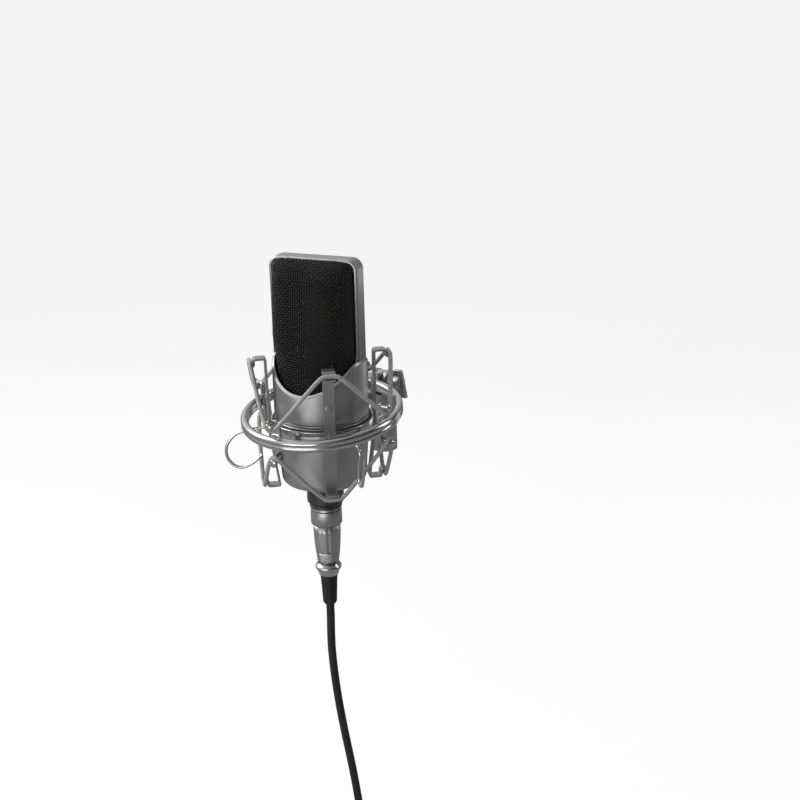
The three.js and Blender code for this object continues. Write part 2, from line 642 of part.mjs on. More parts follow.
function addPlug() {
  addPiece(micGroup, 'plug_sleeve', plugSleeve(), 'satinNickel');
  const latch = facing(block(1.8, 4, 5.8, ...LATCH_PLACE), LATCH_AZIMUTH);
  addPiece(micGroup, 'latch_button', latch, 'satinNickel');
  addPiece(micGroup, 'plug_insert', plugInsert(), 'blackPlastic');
  const shellTop = SLEEVE_FOOT - GAP;
  const shell = turned([
    [5.2, SHELL_FOOT], [6.3, SHELL_FOOT], [8.3, shellTop], [7, shellTop], [5.2, SHELL_FOOT],
  ], 32);
  addPiece(micGroup, 'plug_shell', shell, 'satinNickel');
  const bushingTop = SHELL_FOOT - GAP;
  const bushing = turned([
    [0, BUSHING_FOOT], [BUSHING_NECK, BUSHING_FOOT],
    [BUSHING_RADIUS, BUSHING_FOOT + BUSHING_CHAMFER], [BUSHING_RADIUS, bushingTop - BUSHING_CHAMFER],
    [BUSHING_NECK, bushingTop], [0, bushingTop],
  ], 32);
  addPiece(micGroup, 'plug_bushing', bushing, 'chrome');
  const bootTop = BUSHING_FOOT - GAP;
  const boot = turned([
    [0, BOOT_FOOT], [BOOT_NARROW, BOOT_FOOT], [BOOT_WIDE, bootTop], [0, bootTop],
  ], SMALL_STEPS);
  addPiece(micGroup, 'plug_boot', boot, 'blackRubber');
}

// Turns a point of the lead's plane into the cradle's frame.
function inCablePlane(sideways, height, depth = 0) {
  return atAzimuth(CABLE_AZIMUTH, -depth, sideways, height);
}

// A strap around the bundle at the top of the coil, built in the coil's own frame, axis along Z.
function coilTie() {
  const low = COIL_RADIUS - COIL_BUNDLE - 2;
  const high = COIL_RADIUS + COIL_BUNDLE + 0.4;
  const depth = 2 * (COIL_BUNDLE + 0.4);
  const middle = -(low + high) / 2;
  const opening = block(high - low, 40, depth, middle, 0, 0);
  return cut(block(high - low + 2.4, 12, depth + 2.4, middle, 0, 0), opening);
}

// The far end's boot and shell, hanging down from the origin.
function farConnector() {
  const shellTop = -CONNECTOR_BOOT - GAP;
  const foot = shellTop - CONNECTOR_LENGTH;
  const bore = foot + CONNECTOR_BORE_DEPTH;
  const boot = turned([
    [0, -CONNECTOR_BOOT], [BOOT_WIDE, -CONNECTOR_BOOT], [BOOT_NARROW, 0], [0, 0],
  ], SMALL_STEPS);
  const shell = turned([
    [0, bore], [CONNECTOR_BORE, bore], [CONNECTOR_BORE, foot], [CONNECTOR_RADIUS, foot],
    [CONNECTOR_RADIUS, foot + CONNECTOR_STRAIGHT], [CONNECTOR_NECK, shellTop], [0, shellTop],
  ], 32);
  return [['connector_boot', boot, 'blackRubber'], ['connector_shell', shell, 'satinNickel']];
}

// An eight-sided outline of the bundle, turned about the coil's own axis.
function coilBundle() {
  const sides = 8;
  const corner = COIL_BUNDLE / Math.cos(Math.PI / sides);
  const section = [];
  for (let step = 0; step <= sides; step += 1) {
    const angle = (2 * step + 1) * Math.PI / sides;
    section.push([COIL_RADIUS + corner * Math.cos(angle), corner * Math.sin(angle)]);
  }
  return turned(section, 32);
}

function addLead() {
  const route = smoothed(CABLE_ROUTE.map(([side, height]) => inCablePlane(side, height)), 36);
  addPiece(cradleGroup, 'cable_run', rodThrough(route, CABLE_RADIUS, 8), 'cableJacket');
  const [endSide, endHeight] = CABLE_ROUTE.at(-1);
  const centreSide = endSide - COIL_RADIUS;
  const centreHeight = endHeight - COIL_CLEARANCE;
  const { x, y, z } = inCablePlane(centreSide, centreHeight);
  const placeCoil = (geometry) => (
    facing(geometry.rotateY(QUARTER_TURN), CABLE_AZIMUTH).translate(x, y, z)
  );
  addPiece(cradleGroup, 'cable_coil', placeCoil(coilBundle()), 'cableJacket');
  addPiece(cradleGroup, 'coil_tie', placeCoil(coilTie()), 'feltLiner');
  const hangFrom = inCablePlane(endSide, centreHeight - COIL_CLEARANCE);
  for (const [name, geometry, finish] of farConnector()) {
    addPiece(cradleGroup, name, geometry.translate(hangFrom.x, hangFrom.y, hangFrom.z), finish);
  }
}

// ---- Cradle ----------------------------------------------------------------------------------

function handleWire(azimuth, points) {
  const route = points.map(([radius, height]) => atAzimuth(azimuth, radius, 0, height));
  return rodThrough(smoothed(route, 22), HANDLE_WIRE, 8);
}

// The band round the body and its liner, both split at the rear.
function addClamp() {
  const split = () => facing(block(14, 6, 20, -29, 0, -6), 0);
  const band = sleeve(BAND_INNER, BAND_OUTER, BAND_FOOT, BAND_TOP, 48);
  addPiece(cradleGroup, 'clamp_band', cut(band, split()), 'chrome');
  const linerMargin = 0.4;
  const linerOuter = BAND_INNER - GAP;
  const [linerFoot, linerTop] = [BAND_FOOT + linerMargin, BAND_TOP - linerMargin];
  const liner = sleeve(BODY_RADIUS + GAP, linerOuter, linerFoot, linerTop, 48);
  addPiece(cradleGroup, 'clamp_liner', cut(liner, split()), 'feltLiner');
}

function addPosts() {
  const bend = [
    [LOWER_HOOK_REACH + HOOK_CURL, POST_BOTTOM + HOOK_RETURN],
    [LOWER_HOOK_REACH, POST_BOTTOM + HOOK_RETURN], [LOWER_HOOK_REACH, POST_BOTTOM],
    [POST_LOWER_BEND, POST_BOTTOM], [POST_MIDDLE, BAND_FOOT - 1], [POST_MIDDLE, BAND_TOP + 1],
    [POST_UPPER_BEND, POST_TOP], [UPPER_HOOK_REACH, POST_TOP],
    [UPPER_HOOK_REACH, POST_TOP - HOOK_RETURN],
    [UPPER_HOOK_REACH + HOOK_CURL, POST_TOP - HOOK_RETURN],
  ];
  POST_AZIMUTHS.forEach((azimuth, index) => {
    const strip = extruded(stripShape(bend, POST_THICKNESS), POST_WIDTH);
    const post = facing(standAlongY(strip, POST_WIDTH), azimuth);
    addPiece(cradleGroup, `cradle_post_${index + 1}`, post, 'satinNickel');
  });
}

function addHandles() {
  const left = handleWire(LEFT_HANDLE_AZIMUTH, LEFT_HANDLE_ROUTE);
  const right = handleWire(RIGHT_HANDLE_AZIMUTH, RIGHT_HANDLE_ROUTE);
  addPiece(cradleGroup, 'release_handle_left', left, 'chrome');
  addPiece(cradleGroup, 'release_handle_right', right, 'chrome');
}

// ---- Rings and elastics ----------------------------------------------------------------------

function ringBracket(azimuth) {
  const thickness = BRACKET_OUTER - BRACKET_INNER;
  const middle = (BRACKET_OUTER + BRACKET_INNER) / 2;
  const plate = block(thickness, BRACKET_WIDTH, 2 * BRACKET_HALF_HEIGHT, middle, 0, 0);
  const headStart = ELASTIC_PIN_REACH + ELASTIC_RADIUS + 0.2;
  const pins = [UPPER_PIN_HEIGHT, LOWER_PIN_HEIGHT].flatMap((height) => [
    disc(PIN_RADIUS, BRACKET_INNER + 0.4, headStart + 0.5, 12),
    disc(PIN_HEAD_RADIUS, headStart, headStart + 1.2, 12),
  ].map((pin) => pin.rotateY(QUARTER_TURN).translate(0, 0, height)));
  return facing(joined(plate, ...pins), azimuth);
}

// One elastic zigzags between the four hooks and the four pins. upward is 1 for the upper one.
function elasticRoute(reach, height, pinHeight, upward) {
  const acrossHook = [[-4.7, -0.5], [-3.2, 0], [3.2, 0], [4.7, -0.5]];
  const roundPin = [[-2.4, 1.8], [0, 3], [2.4, 1.8]];
  const droop = new THREE.Vector3(1, 0, 0);
  const points = [];
  BRACKET_AZIMUTHS.forEach((pinAzimuth, index) => {
    for (const [side, rise] of roundPin) {
      const point = atAzimuth(pinAzimuth, ELASTIC_PIN_REACH, side, pinHeight - upward * rise);
      points.push(point.applyAxisAngle(droop, RING_DROOP));
    }
    for (const [side, rise] of acrossHook) {
      points.push(atAzimuth(POST_AZIMUTHS[index], reach, side, height + upward * rise));
    }
  });
  return points;
}

// Points of one bead's outline, between two angles around its centre.
function beadArc(height, fromAngle, toAngle) {
  const steps = 8;
  return Array.from({ length: steps }, (_, step) => {
    const angle = THREE.MathUtils.lerp(fromAngle, toAngle, step / steps);
    return [RING_RADIUS + BEAD_RADIUS * Math.cos(angle), height + BEAD_RADIUS * Math.sin(angle)];
  });
}

function outerRing() {
  const meeting = Math.asin(BEAD_HEIGHT / BEAD_RADIUS); // where the two beads run into each other
  const upper = beadArc(BEAD_HEIGHT, -meeting, Math.PI + meeting);
  const lower = beadArc(-BEAD_HEIGHT, Math.PI - meeting, 2 * Math.PI + meeting);
  return turned([...upper, ...lower, upper[0]], 56);
}

function addRing() {
  addPiece(ringGroup, 'outer_ring', outerRing(), 'chrome');
  const names = ['front', 'right', 'rear', 'left'];
  BRACKET_AZIMUTHS.forEach((azimuth, index) => {
    addPiece(ringGroup, `ring_bracket_${names[index]}`, ringBracket(azimuth), 'chrome');
  });
  const fromHook = POST_THICKNESS / 2 + GAP + ELASTIC_RADIUS;
  const upperHeight = POST_TOP - HOOK_RETURN + fromHook;
  const lowerHeight = POST_BOTTOM + HOOK_RETURN - fromHook;
  const upper = elasticRoute(UPPER_HOOK_REACH + fromHook, upperHeight, UPPER_PIN_HEIGHT, 1);
  const lower = elasticRoute(LOWER_HOOK_REACH + fromHook, lowerHeight, LOWER_PIN_HEIGHT, -1);
  addPiece(cradleGroup, 'upper_elastic', loopThrough(upper, ELASTIC_RADIUS, 8), 'greyElastic');
  addPiece(cradleGroup, 'lower_elastic', loopThrough(lower, ELASTIC_RADIUS, 8), 'greyElastic');
}

// ---- Swivel ----------------------------------------------------------------------------------

function crossRod(radius, from, to, steps = SMALL_STEPS) {
  return disc(radius, from, to, steps).rotateY(QUARTER_TURN);
}

function crossRing(inner, outer, from, to, steps = SMALL_STEPS) {
  return sleeve(inner, outer, from, to, steps).rotateY(QUARTER_TURN);
}

function swivelArm() {
  const plateFace = ARM_REACH - RING_RADIUS - BEAD_RADIUS - GAP;
  const plateThickness = 2.5;
  const plateWidth = 12;
  const halfHeight = 4.2;
  const shape = new THREE.Shape();
  shape.moveTo(-plateFace + plateThickness, ARM_RISE - halfHeight);
  shape.absarc(0, 0, FORK_RADIUS - 0.4, degToRad(-140), degToRad(110), false);
  shape.lineTo(-plateFace + plateThickness, ARM_RISE + halfHeight);
  const thickness = 2 * TONGUE_HALF_WIDTH;
  const tongue = standAlongX(extruded(shape, thickness, 10), thickness);
  const plateMiddle = -plateFace + plateThickness / 2;
  const plate = block(plateWidth, plateThickness + 0.2, 2 * halfHeight, 0, plateMiddle, ARM_RISE);
  const bored = cut(joined(tongue, plate), crossRod(BOLT_BORE, -20, 20));
  return bored.translate(0, ARM_REACH, -ARM_RISE);
}

function standSocket() {
  const roof = SOCKET_HEIGHT - SOCKET_ROOF;
  const cup = turned([
    [SOCKET_BORE, 0], [SOCKET_RADIUS, 0], [SOCKET_RADIUS, SOCKET_HEIGHT - 1],
    [SOCKET_RADIUS - 1, SOCKET_HEIGHT], [0, SOCKET_HEIGHT], [0, roof], [SOCKET_BORE, roof],
    [SOCKET_BORE, 0],
  ]);
  const outline = new THREE.Shape();
  outline.moveTo(-FORK_FOOT_WIDTH / 2, SOCKET_HEIGHT - 1);
  outline.lineTo(FORK_FOOT_WIDTH / 2, SOCKET_HEIGHT - 1);
  outline.absarc(0, PIVOT_HEIGHT, FORK_RADIUS, degToRad(-30), degToRad(210), false);
  const fork = standAlongX(extruded(outline, 2 * FORK_HALF_WIDTH, 10), 2 * FORK_HALF_WIDTH);
  const slotFloor = PIVOT_HEIGHT - FORK_RADIUS - 0.8;
  const slot = block(2 * (TONGUE_HALF_WIDTH + GAP), 30, 30, 0, 0, slotFloor + 15);
  return cut(joined(cup, fork), slot, crossRod(BOLT_BORE, -20, 20).translate(0, 0, PIVOT_HEIGHT));
}

function wingKnob() {
  const hub = crossRod(KNOB_HUB_RADIUS, KNOB_START, KNOB_START + KNOB_HUB_LENGTH);
  const corners = WING_OUTLINE.map(([out, up]) => new THREE.Vector2(KNOB_START + out, up));
  const wing = standAlongY(extruded(new THREE.Shape(corners), WING_THICKNESS), WING_THICKNESS);
  const bore = crossRod(BOLT_BORE, KNOB_START - 1, KNOB_START + 3.2);
  return cut(joined(hub, wing), bore);
}

function addSwivel() {
  addPiece(swivelGroup, 'stand_socket', standSocket(), 'satinNickel');
  const insertTop = SOCKET_HEIGHT - SOCKET_ROOF - 1;
  const insert = sleeve(THREAD_RADIUS, SOCKET_BORE - GAP, 0, insertTop, 32);
  addPiece(swivelGroup, 'thread_insert', insert, 'brass');
  addPiece(ringGroup, 'swivel_arm', swivelArm(), 'chrome');
  const atPivot = (geometry) => geometry.translate(0, 0, PIVOT_HEIGHT);
  const nutStart = -FORK_HALF_WIDTH - GAP;
  const boltStart = nutStart - NUT_LENGTH - 1.2;
  const boltEnd = KNOB_START + 2.6;
  addPiece(swivelGroup, 'pivot_bolt', atPivot(crossRod(BOLT_RADIUS, boltStart, boltEnd)), 'steel');
  const nutBlank = crossRod(NUT_RADIUS, nutStart - NUT_LENGTH, nutStart, 6);
  const nut = cut(nutBlank, crossRod(BOLT_BORE, -20, 0));
  addPiece(swivelGroup, 'pivot_nut', atPivot(nut), 'chrome');
  const washerStart = FORK_HALF_WIDTH + GAP;
  const washer = crossRing(BOLT_BORE, 6.2, washerStart, washerStart + WASHER_THICKNESS);
  addPiece(swivelGroup, 'pivot_washer', atPivot(washer), 'chrome');
  addPiece(swivelGroup, 'wing_knob', atPivot(wingKnob()), 'chrome');
}

addHead();
addCapsule();
addBody();
addChassis();
addSocket();
addPlug();
addLead();
addClamp();
addPosts();
addHandles();
addRing();
addSwivel();

export default assembly;
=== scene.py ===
"""Looks of a side-address condenser microphone in a spider shock mount, with its swivel and its lead.

Each detailed piece is drawn in millimetres in the frame of the sub-assembly that it belongs to,
and piece() turns it into metres in the row's frame.
"""

import json
from math import asin, copysign, cos, exp, hypot, log, pi, radians, sin, sqrt

import bpy
import numpy as np
from mathutils import Matrix, Vector


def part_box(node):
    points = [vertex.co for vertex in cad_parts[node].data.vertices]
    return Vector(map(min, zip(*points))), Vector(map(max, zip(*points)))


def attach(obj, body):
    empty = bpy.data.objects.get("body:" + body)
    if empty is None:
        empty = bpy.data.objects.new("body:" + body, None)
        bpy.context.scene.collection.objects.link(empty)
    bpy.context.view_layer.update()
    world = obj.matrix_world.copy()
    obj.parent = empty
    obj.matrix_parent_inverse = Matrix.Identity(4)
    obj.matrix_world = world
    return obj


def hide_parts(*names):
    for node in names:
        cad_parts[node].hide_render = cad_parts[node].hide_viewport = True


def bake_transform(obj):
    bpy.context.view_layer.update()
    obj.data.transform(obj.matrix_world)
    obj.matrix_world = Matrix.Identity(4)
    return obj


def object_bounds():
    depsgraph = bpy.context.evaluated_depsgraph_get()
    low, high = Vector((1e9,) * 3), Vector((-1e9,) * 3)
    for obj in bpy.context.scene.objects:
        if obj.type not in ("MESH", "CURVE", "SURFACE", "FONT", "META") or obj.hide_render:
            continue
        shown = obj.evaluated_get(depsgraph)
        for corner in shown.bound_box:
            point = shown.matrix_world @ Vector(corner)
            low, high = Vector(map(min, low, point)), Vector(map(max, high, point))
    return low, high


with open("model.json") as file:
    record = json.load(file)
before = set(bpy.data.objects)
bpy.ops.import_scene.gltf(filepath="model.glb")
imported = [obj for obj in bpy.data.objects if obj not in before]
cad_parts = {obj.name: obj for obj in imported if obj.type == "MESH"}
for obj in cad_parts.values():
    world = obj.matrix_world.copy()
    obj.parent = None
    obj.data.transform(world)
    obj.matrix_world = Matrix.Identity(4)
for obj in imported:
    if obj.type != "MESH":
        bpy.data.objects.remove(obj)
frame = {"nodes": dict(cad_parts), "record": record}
cad_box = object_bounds()

# ---- Sizes in millimetres, and places ---------

MM = 0.001
GAP = 0.3  # clearance between pieces that touch
RING_DROOP = radians(6.5)  # the ring sinks a little towards the front
MIC_YAW = radians(12)  # the microphone's front, from -Y towards +X
PIVOT_HEIGHT = 44

RING_RADIUS = 44.8  # to the middle of the ring's section
BEAD_RADIUS = 2.2  # the section is two round beads, one above the other
BEAD_HEIGHT = 1.4  # of each bead's centre above or below the middle
PIN_HEIGHT = 11
PIN_REACH = 46.1
ELASTIC_RADIUS = 1.3
BRACKET_INNER = 40.8
BRACKET_OUTER = 42.3
BRACKET_WIDTH = 6
BRACKET_HALF_HEIGHT = 13

PIN_RADIUS = 1.4
PIN_HEAD_RADIUS = 2.3
RIVET_RADIUS = 1.5

POST_AZIMUTHS = (45, 135, 225, 315)
BRACKET_AZIMUTHS = (0, 90, 180, 270)
POST_TOP = 35.3
POST_BOTTOM = -41.8
POST_UPPER_BEND = 31.2  # distances from the axis at which the hooks start
POST_LOWER_BEND = 26.4
UPPER_HOOK_REACH = 37.8
LOWER_HOOK_REACH = 33.4
HOOK_RETURN = 3.8  # each hook turns back towards the ring by this much
HOOK_CURL = 3.2  # and then outwards, under the elastic
POST_THICKNESS = 1.2
POST_WIDTH = 6.6
BAND_OUTER = 29.8
BAND_TOP = -2
BAND_FOOT = -10

BODY_RADIUS = 27.4
BODY_WALL = 2
BODY_FOOT_RADIUS = 24.8
BODY_FOOT = -41
FOOT_ROUNDING = 4
SEAM_HALF_GAP = 0.9  # the two shells start this far from the seam's middle
SHOULDER_HEIGHT = 34.5
SHOULDER_SOFTNESS = 0.8
CUT_RADIUS = 29.3  # the U-shaped cut is part of a circle
CUT_LOWEST = 18.3
SOCKET_HOLE = 9.5
SWITCH_HEIGHT = -20
SWITCH_AZIMUTH = 16  # each side of the rear
WINDOW_HALF_HEIGHT = 4.7
WINDOW_HALF_ANGLE = 4  # degrees

HEAD_HALF_WIDTH = 27
HEAD_TOP = 92
HEAD_DEPTH = 10
HEAD_BAND = 1.8
HEAD_CORNER = 6
HEAD_TONGUE = 24.6  # half width of the legs where they stand inside the body
HEAD_LEDGE = 34.8  # the legs widen here, just above the body
HEAD_ROUNDING = 1.5
LEG_TAPER = 4  # height over which the inside of a leg widens
CAPSULE_HEIGHT = 61
SCREW_CIRCLE = 15.4
CONTACT_ANGLES = (30, 150, 270)
CONTACT_CIRCLE = 4

CABLE_RADIUS = 2.5
CABLE_AZIMUTH = 34
CABLE_ROUTE = [
    [0, -122.7], [0, -132], [-0.2, -142], [-0.2, -152], [0.3, -163], [1.2, -175], [2.5, -188],
    [4.1, -201], [5.9, -214], [7.9, -227], [9.8, -240], [11.4, -252], [12.8, -264], [13.8, -272],
    [14.2, -283],
]
COIL_RADIUS = 28
COIL_CLEARANCE = 30.5
COIL_ROWS = 4
COIL_ENTRY = radians(38)  # the lead joins and leaves the outer turns this far from the side
CELL_CHANGE = (0.42, 0.62)  # part of each turn in which it steps over to the next place
STRAP_HALF_WIDTH = 6
STRAP_THICKNESS = 1.1
STRAP_REACH = 10.4  # from the middle of the bundle
CONNECTOR_BOOT = 20
CONNECTOR_LENGTH = 50

ring_low, ring_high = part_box("outer_ring")
RING_CENTRE = (Vector(ring_low) + Vector(ring_high)) / 2
SWIVEL = Matrix.Identity(4)
CRADLE = Matrix.Translation(RING_CENTRE)
RING = CRADLE @ Matrix.Rotation(RING_DROOP, 4, "X")
MICROPHONE = CRADLE @ Matrix.Rotation(MIC_YAW, 4, "Z")
SIDES_OF_HEAD = (("front", MICROPHONE), ("rear", MICROPHONE @ Matrix.Rotation(pi, 4, "Z")))
UPRIGHT = Matrix.Rotation(pi / 2, 4, "X")  # stands up what is drawn on the XY plane


def new_object(name, data):
    made = bpy.data.objects.new(name, data)
    bpy.context.scene.collection.objects.link(made)
    return made


# ---- Camera ----------------------------------

CAMERA_LENS = 60.53
CAMERA_YAW = radians(34.17)
CAMERA_PITCH = radians(18.70)
CAMERA_ROLL = radians(-1.33)
CAMERA_OFFSET = (-45.19, 734.25, -254.85)  # the ring's centre from the camera: right, ahead, up


def add_camera():
    yaw = Matrix.Rotation(CAMERA_YAW, 4, "Z")
    tilt = Matrix.Rotation(pi / 2 - CAMERA_PITCH, 4, "X")
    roll = Matrix.Rotation(CAMERA_ROLL, 4, "Z")
    place = Matrix.Translation(RING_CENTRE - yaw @ Vector(CAMERA_OFFSET) * MM)
    data = bpy.data.cameras.new("camera")
    data.lens = CAMERA_LENS
    data.clip_start = 0.01
    camera = new_object("camera", data)
    camera.matrix_world = place @ yaw @ tilt @ roll
    bpy.context.scene.camera = camera


# ---- Materials -------------------------------


def add_node(tree, kind, inputs=None, **settings):
    """A shader node with its settings, and with its inputs set or linked."""
    made = tree.nodes.new(kind)
    for name, value in settings.items():
        setattr(made, name, value)
    for name, value in (inputs or {}).items():
        if isinstance(value, bpy.types.NodeSocket):
            tree.links.new(value, made.inputs[name])
        else:
            made.inputs[name].default_value = value
    return made


class Look:
    """A procedural material, built node by node around one Principled shader."""

    def __init__(self, name, **sockets):
        self.material = bpy.data.materials.new(name)
        self.material.use_nodes = True
        self.tree = self.material.node_tree
        self.shader = self.tree.nodes["Principled BSDF"]
        self.place = self.node("ShaderNodeTexCoord").outputs["Object"]
        for socket, value in sockets.items():
            self.shader.inputs[socket.replace("_", " ")].default_value = value

    def node(self, kind, inputs=None, **settings):
        return add_node(self.tree, kind, inputs, **settings)

    def stretched(self, scale):
        """Object coordinates, scaled along each axis."""
        return self.node("ShaderNodeMapping", {"Vector": self.place, "Scale": scale}).outputs["Vector"]

    def noise(self, scale, detail=3.0, roughness=0.55, where=None):
        inputs = {"Scale": scale, "Detail": detail, "Roughness": roughness}
        inputs["Vector"] = where or self.place
        return self.node("ShaderNodeTexNoise", inputs).outputs["Fac"]

    def ranged(self, value, low, high, start=0.3, end=0.7):
        """Turns a value from start..end into low..high."""
        inputs = {"Value": value, "From Min": start, "From Max": end, "To Min": low, "To Max": high}
        return self.node("ShaderNodeMapRange", inputs).outputs["Result"]

    def ramp(self, value, *stops):
        """Colours at places along a value."""
        made = self.node("ShaderNodeValToRGB", {"Fac": value})
        elements = made.color_ramp.elements
        while len(elements) < len(stops):
            elements.new(0.5)
        for element, (position, colour) in zip(elements, stops):
            element.position = position
            element.color = (*colour, 1)
        return made.outputs["Color"]

    def bump(self, height, depth, under=None, strength=1.0):
        inputs = {"Height": height, "Distance": depth * MM, "Strength": strength}
        if under is not None:
            inputs["Normal"] = under
        return self.node("ShaderNodeBump", inputs).outputs["Normal"]

    def connect(self, **sockets):
        for name, value in sockets.items():
            self.tree.links.new(value, self.shader.inputs[name.replace("_", " ")])
        return self.material

    def covered(self, patches, colours, rough, normal=None, stops=(0.3, 0.7), rough_from=None):
        """Two colours and a range of roughness that follow patches, over a bumped normal."""
        sockets = {"Base_Color": self.ramp(patches, *zip(stops, colours))}
        sockets["Roughness"] = self.ranged(rough_from or patches, *rough)
        if normal is not None:
            sockets["Normal"] = normal
        return self.connect(**sockets)


def grey(value, warmth=0.0):
    return (value * (1 + warmth), value, value * (1 - warmth))


def satin_metal(name, tone, rough):
    """Bead-blasted and plated metal: a fine even grain, with faint handling marks."""
    look = Look(name, Metallic=1.0)
    colours = grey(tone * 0.95), grey(tone * 1.04)
    normal = look.bump(look.noise(900, 2), 0.006, look.bump(look.noise(5200, 2), 0.012))
    return look.covered(look.noise(55, 4), colours, (rough - 0.04, rough + 0.05), normal)


def polished_metal(name, tone, rough=0.14):
    """Bright plating with soft smudges and hairline scratches."""
    look = Look(name, Metallic=1.0)
    colours = grey(tone * 0.93, 0.005), grey(tone)
    normal = look.bump(look.noise(300, 2, where=look.stretched((1, 1, 14))), 0.004)
    return look.covered(look.noise(140, 5), colours, (rough * 0.7, rough * 1.7), normal, (0.25, 0.7))


def turned_metal(name, tone, rough, warmth=0.0):
    """Machined metal with fine tool lines round the piece."""
    look = Look(name, Metallic=1.0)
    colours = grey(tone * 0.88, warmth), grey(tone * 1.08, warmth)
    lines = look.noise(120, 3, where=look.stretched((1, 1, 60)))
    return look.covered(lines, colours, (rough - 0.06, rough + 0.08), look.bump(lines, 0.01))


def black_wire():
    """Blackened steel wire: satin paint, thinner in scattered patches."""
    look = Look("black_wire", Metallic=0.55)
    return look.covered(look.noise(700, 3), (grey(0.024), grey(0.05)), (0.3, 0.45), stops=(0.4, 0.75))


def moulded_plastic(name, tone, rough=0.45):
    look = Look(name)
    colours = grey(tone * 0.8), grey(tone * 1.2)
    grain = look.noise(2600, 3)
    normal = look.bump(grain, 0.02)
    return look.covered(look.noise(60, 2), colours, (rough - 0.06, rough + 0.08), normal, rough_from=grain)


def rubber(name, tone, rough=0.6):
    """Matt rubber or cable jacket with dust in its grain."""
    look = Look(name, Specular_IOR_Level=0.4)
    colours = grey(tone), grey(tone * 1.7)
    normal = look.bump(look.noise(1800, 4), 0.03)
    return look.covered(look.noise(90, 4), colours, (rough - 0.08, rough + 0.1), normal, (0.3, 0.75))


def woven_elastic():
    """Light grey braided sleeve of an elastic cord; the braid itself is in the mesh."""
    look = Look("woven_elastic", Sheen_Weight=0.35, Sheen_Roughness=0.4)
    colours = grey(0.36, 0.01), grey(0.46, 0.01)
    fibre = look.noise(2600, 3)
    return look.covered(look.noise(120, 3), colours, (0.5, 0.72), look.bump(fibre, 0.05), rough_from=fibre)


def felt():
    look = Look("felt", Sheen_Weight=0.5)
    fibre = look.noise(1500, 6, 0.7)
    return look.covered(fibre, (grey(0.012), grey(0.04)), (0.85, 1.0), look.bump(fibre, 0.15))


def gold_film():
    """Gold-sputtered film with faint patches."""
    look = Look("gold_film", Metallic=1.0)
    patches = look.noise(200, 3)
    colours = (0.72, 0.5, 0.2), (0.86, 0.63, 0.3)
    return look.covered(patches, colours, (0.16, 0.26), look.bump(patches, 0.01))


def circuit_board():
    """Green solder mask over copper tracks."""
    look = Look("circuit_board", Coat_Weight=0.4)
    cells = look.node("ShaderNodeTexVoronoi", {"Vector": look.place, "Scale": 420.0}, distance="CHEBYCHEV")
    colours = (0.012, 0.07, 0.025), (0.03, 0.14, 0.05)
    mask = look.noise(900)
    return look.covered(cells.outputs["Distance"], colours, (0.3, 0.45), None, (0.3, 0.55), mask)


PAPER_GLOW = 0.72


def floor_paper():
    """White paper to the camera, with faint shadows, and a darker floor in reflections."""
    look = Look("floor_paper", Roughness=0.9, Emission_Color=(1, 1, 1, 1))
    seen = look.node("ShaderNodeLightPath").outputs["Is Camera Ray"]
    colour = look.ramp(look.noise(1.5, 2), (0.3, grey(0.30)), (0.7, grey(0.32)))
    return look.connect(Base_Color=colour, Emission_Strength=look.ranged(seen, 0, PAPER_GLOW, 0, 1))


MATERIALS = {
    "satin_nickel": satin_metal("satin_nickel", 0.44, 0.42),
    "chrome": polished_metal("chrome", 0.60),
    "dark_metal": satin_metal("dark_metal", 0.10, 0.4),
    "black_mesh": black_wire(),
    "brass": turned_metal("brass", 0.42, 0.3, 0.35),
    "gold_film": gold_film(),
    "black_plastic": moulded_plastic("black_plastic", 0.02),
    "circuit_board": circuit_board(),
    "steel": turned_metal("steel", 0.4, 0.35),
    "grey_elastic": woven_elastic(),
    "black_rubber": rubber("black_rubber", 0.012),
    "cable_jacket": rubber("cable_jacket", 0.014, 0.5),
    "felt": felt(),
}
NODE_SLOTS = {part["node"]: part["material_slot"] for part in frame["record"]["subparts"]}


# ---- Mesh helpers ----------------------------


def piece(name, shape, place, body, slot, stands_for=(), smooth=True):
    """A mesh piece from (points in millimetres, faces), put in place on a body."""
    points, faces = shape
    mesh = bpy.data.meshes.new(name)
    mesh.from_pydata([tuple(map(float, point)) for point in points], [], faces)
    mesh.transform(place @ Matrix.Scale(MM, 4))
    mesh.polygons.foreach_set("use_smooth", [smooth] * len(mesh.polygons))
    mesh.materials.append(MATERIALS[slot])
    made = new_object(name, mesh)
    if body:
        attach(made, body)
    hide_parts(*stands_for)
    return made


def shifted(place, offset):
    """A place moved by millimetres along its own axes."""
    return place @ Matrix.Translation(Vector(offset) * MM)


def joined(*shapes):
    """Several (points, faces) shapes as one."""
    points, faces = [], []
    for more_points, more_faces in shapes:
        start = len(points)
        points.extend(more_points)
        faces.extend([start + corner for corner in face] for face in more_faces)
    return points, faces


def moved(shape, matrix):
    points, faces = shape
    return [matrix @ Vector(point) for point in points], faces


def polar(radius, angle, x=0.0, y=0.0):
    """A point at a radius and an angle round (x, y)."""
    return x + radius * cos(angle), y + radius * sin(angle)


def facing(azimuth):
    """Turns what is drawn along +X to an azimuth, measured from -Y towards +X."""
    return Matrix.Rotation(radians(azimuth - 90), 4, "Z")


def grid(rows, closed_columns=True, closed_rows=False):
    """Faces over rows of points, each with the same number of points."""
    points = [point for row in rows for point in row]
    width = len(rows[0])
    faces = []
    for r in range(len(rows) - (0 if closed_rows else 1)):
        below, above = r * width, (r + 1) % len(rows) * width
        for c in range(width - (0 if closed_columns else 1)):
            right = (c + 1) % width
            faces.append([below + c, below + right, above + right, above + c])
    return points, faces


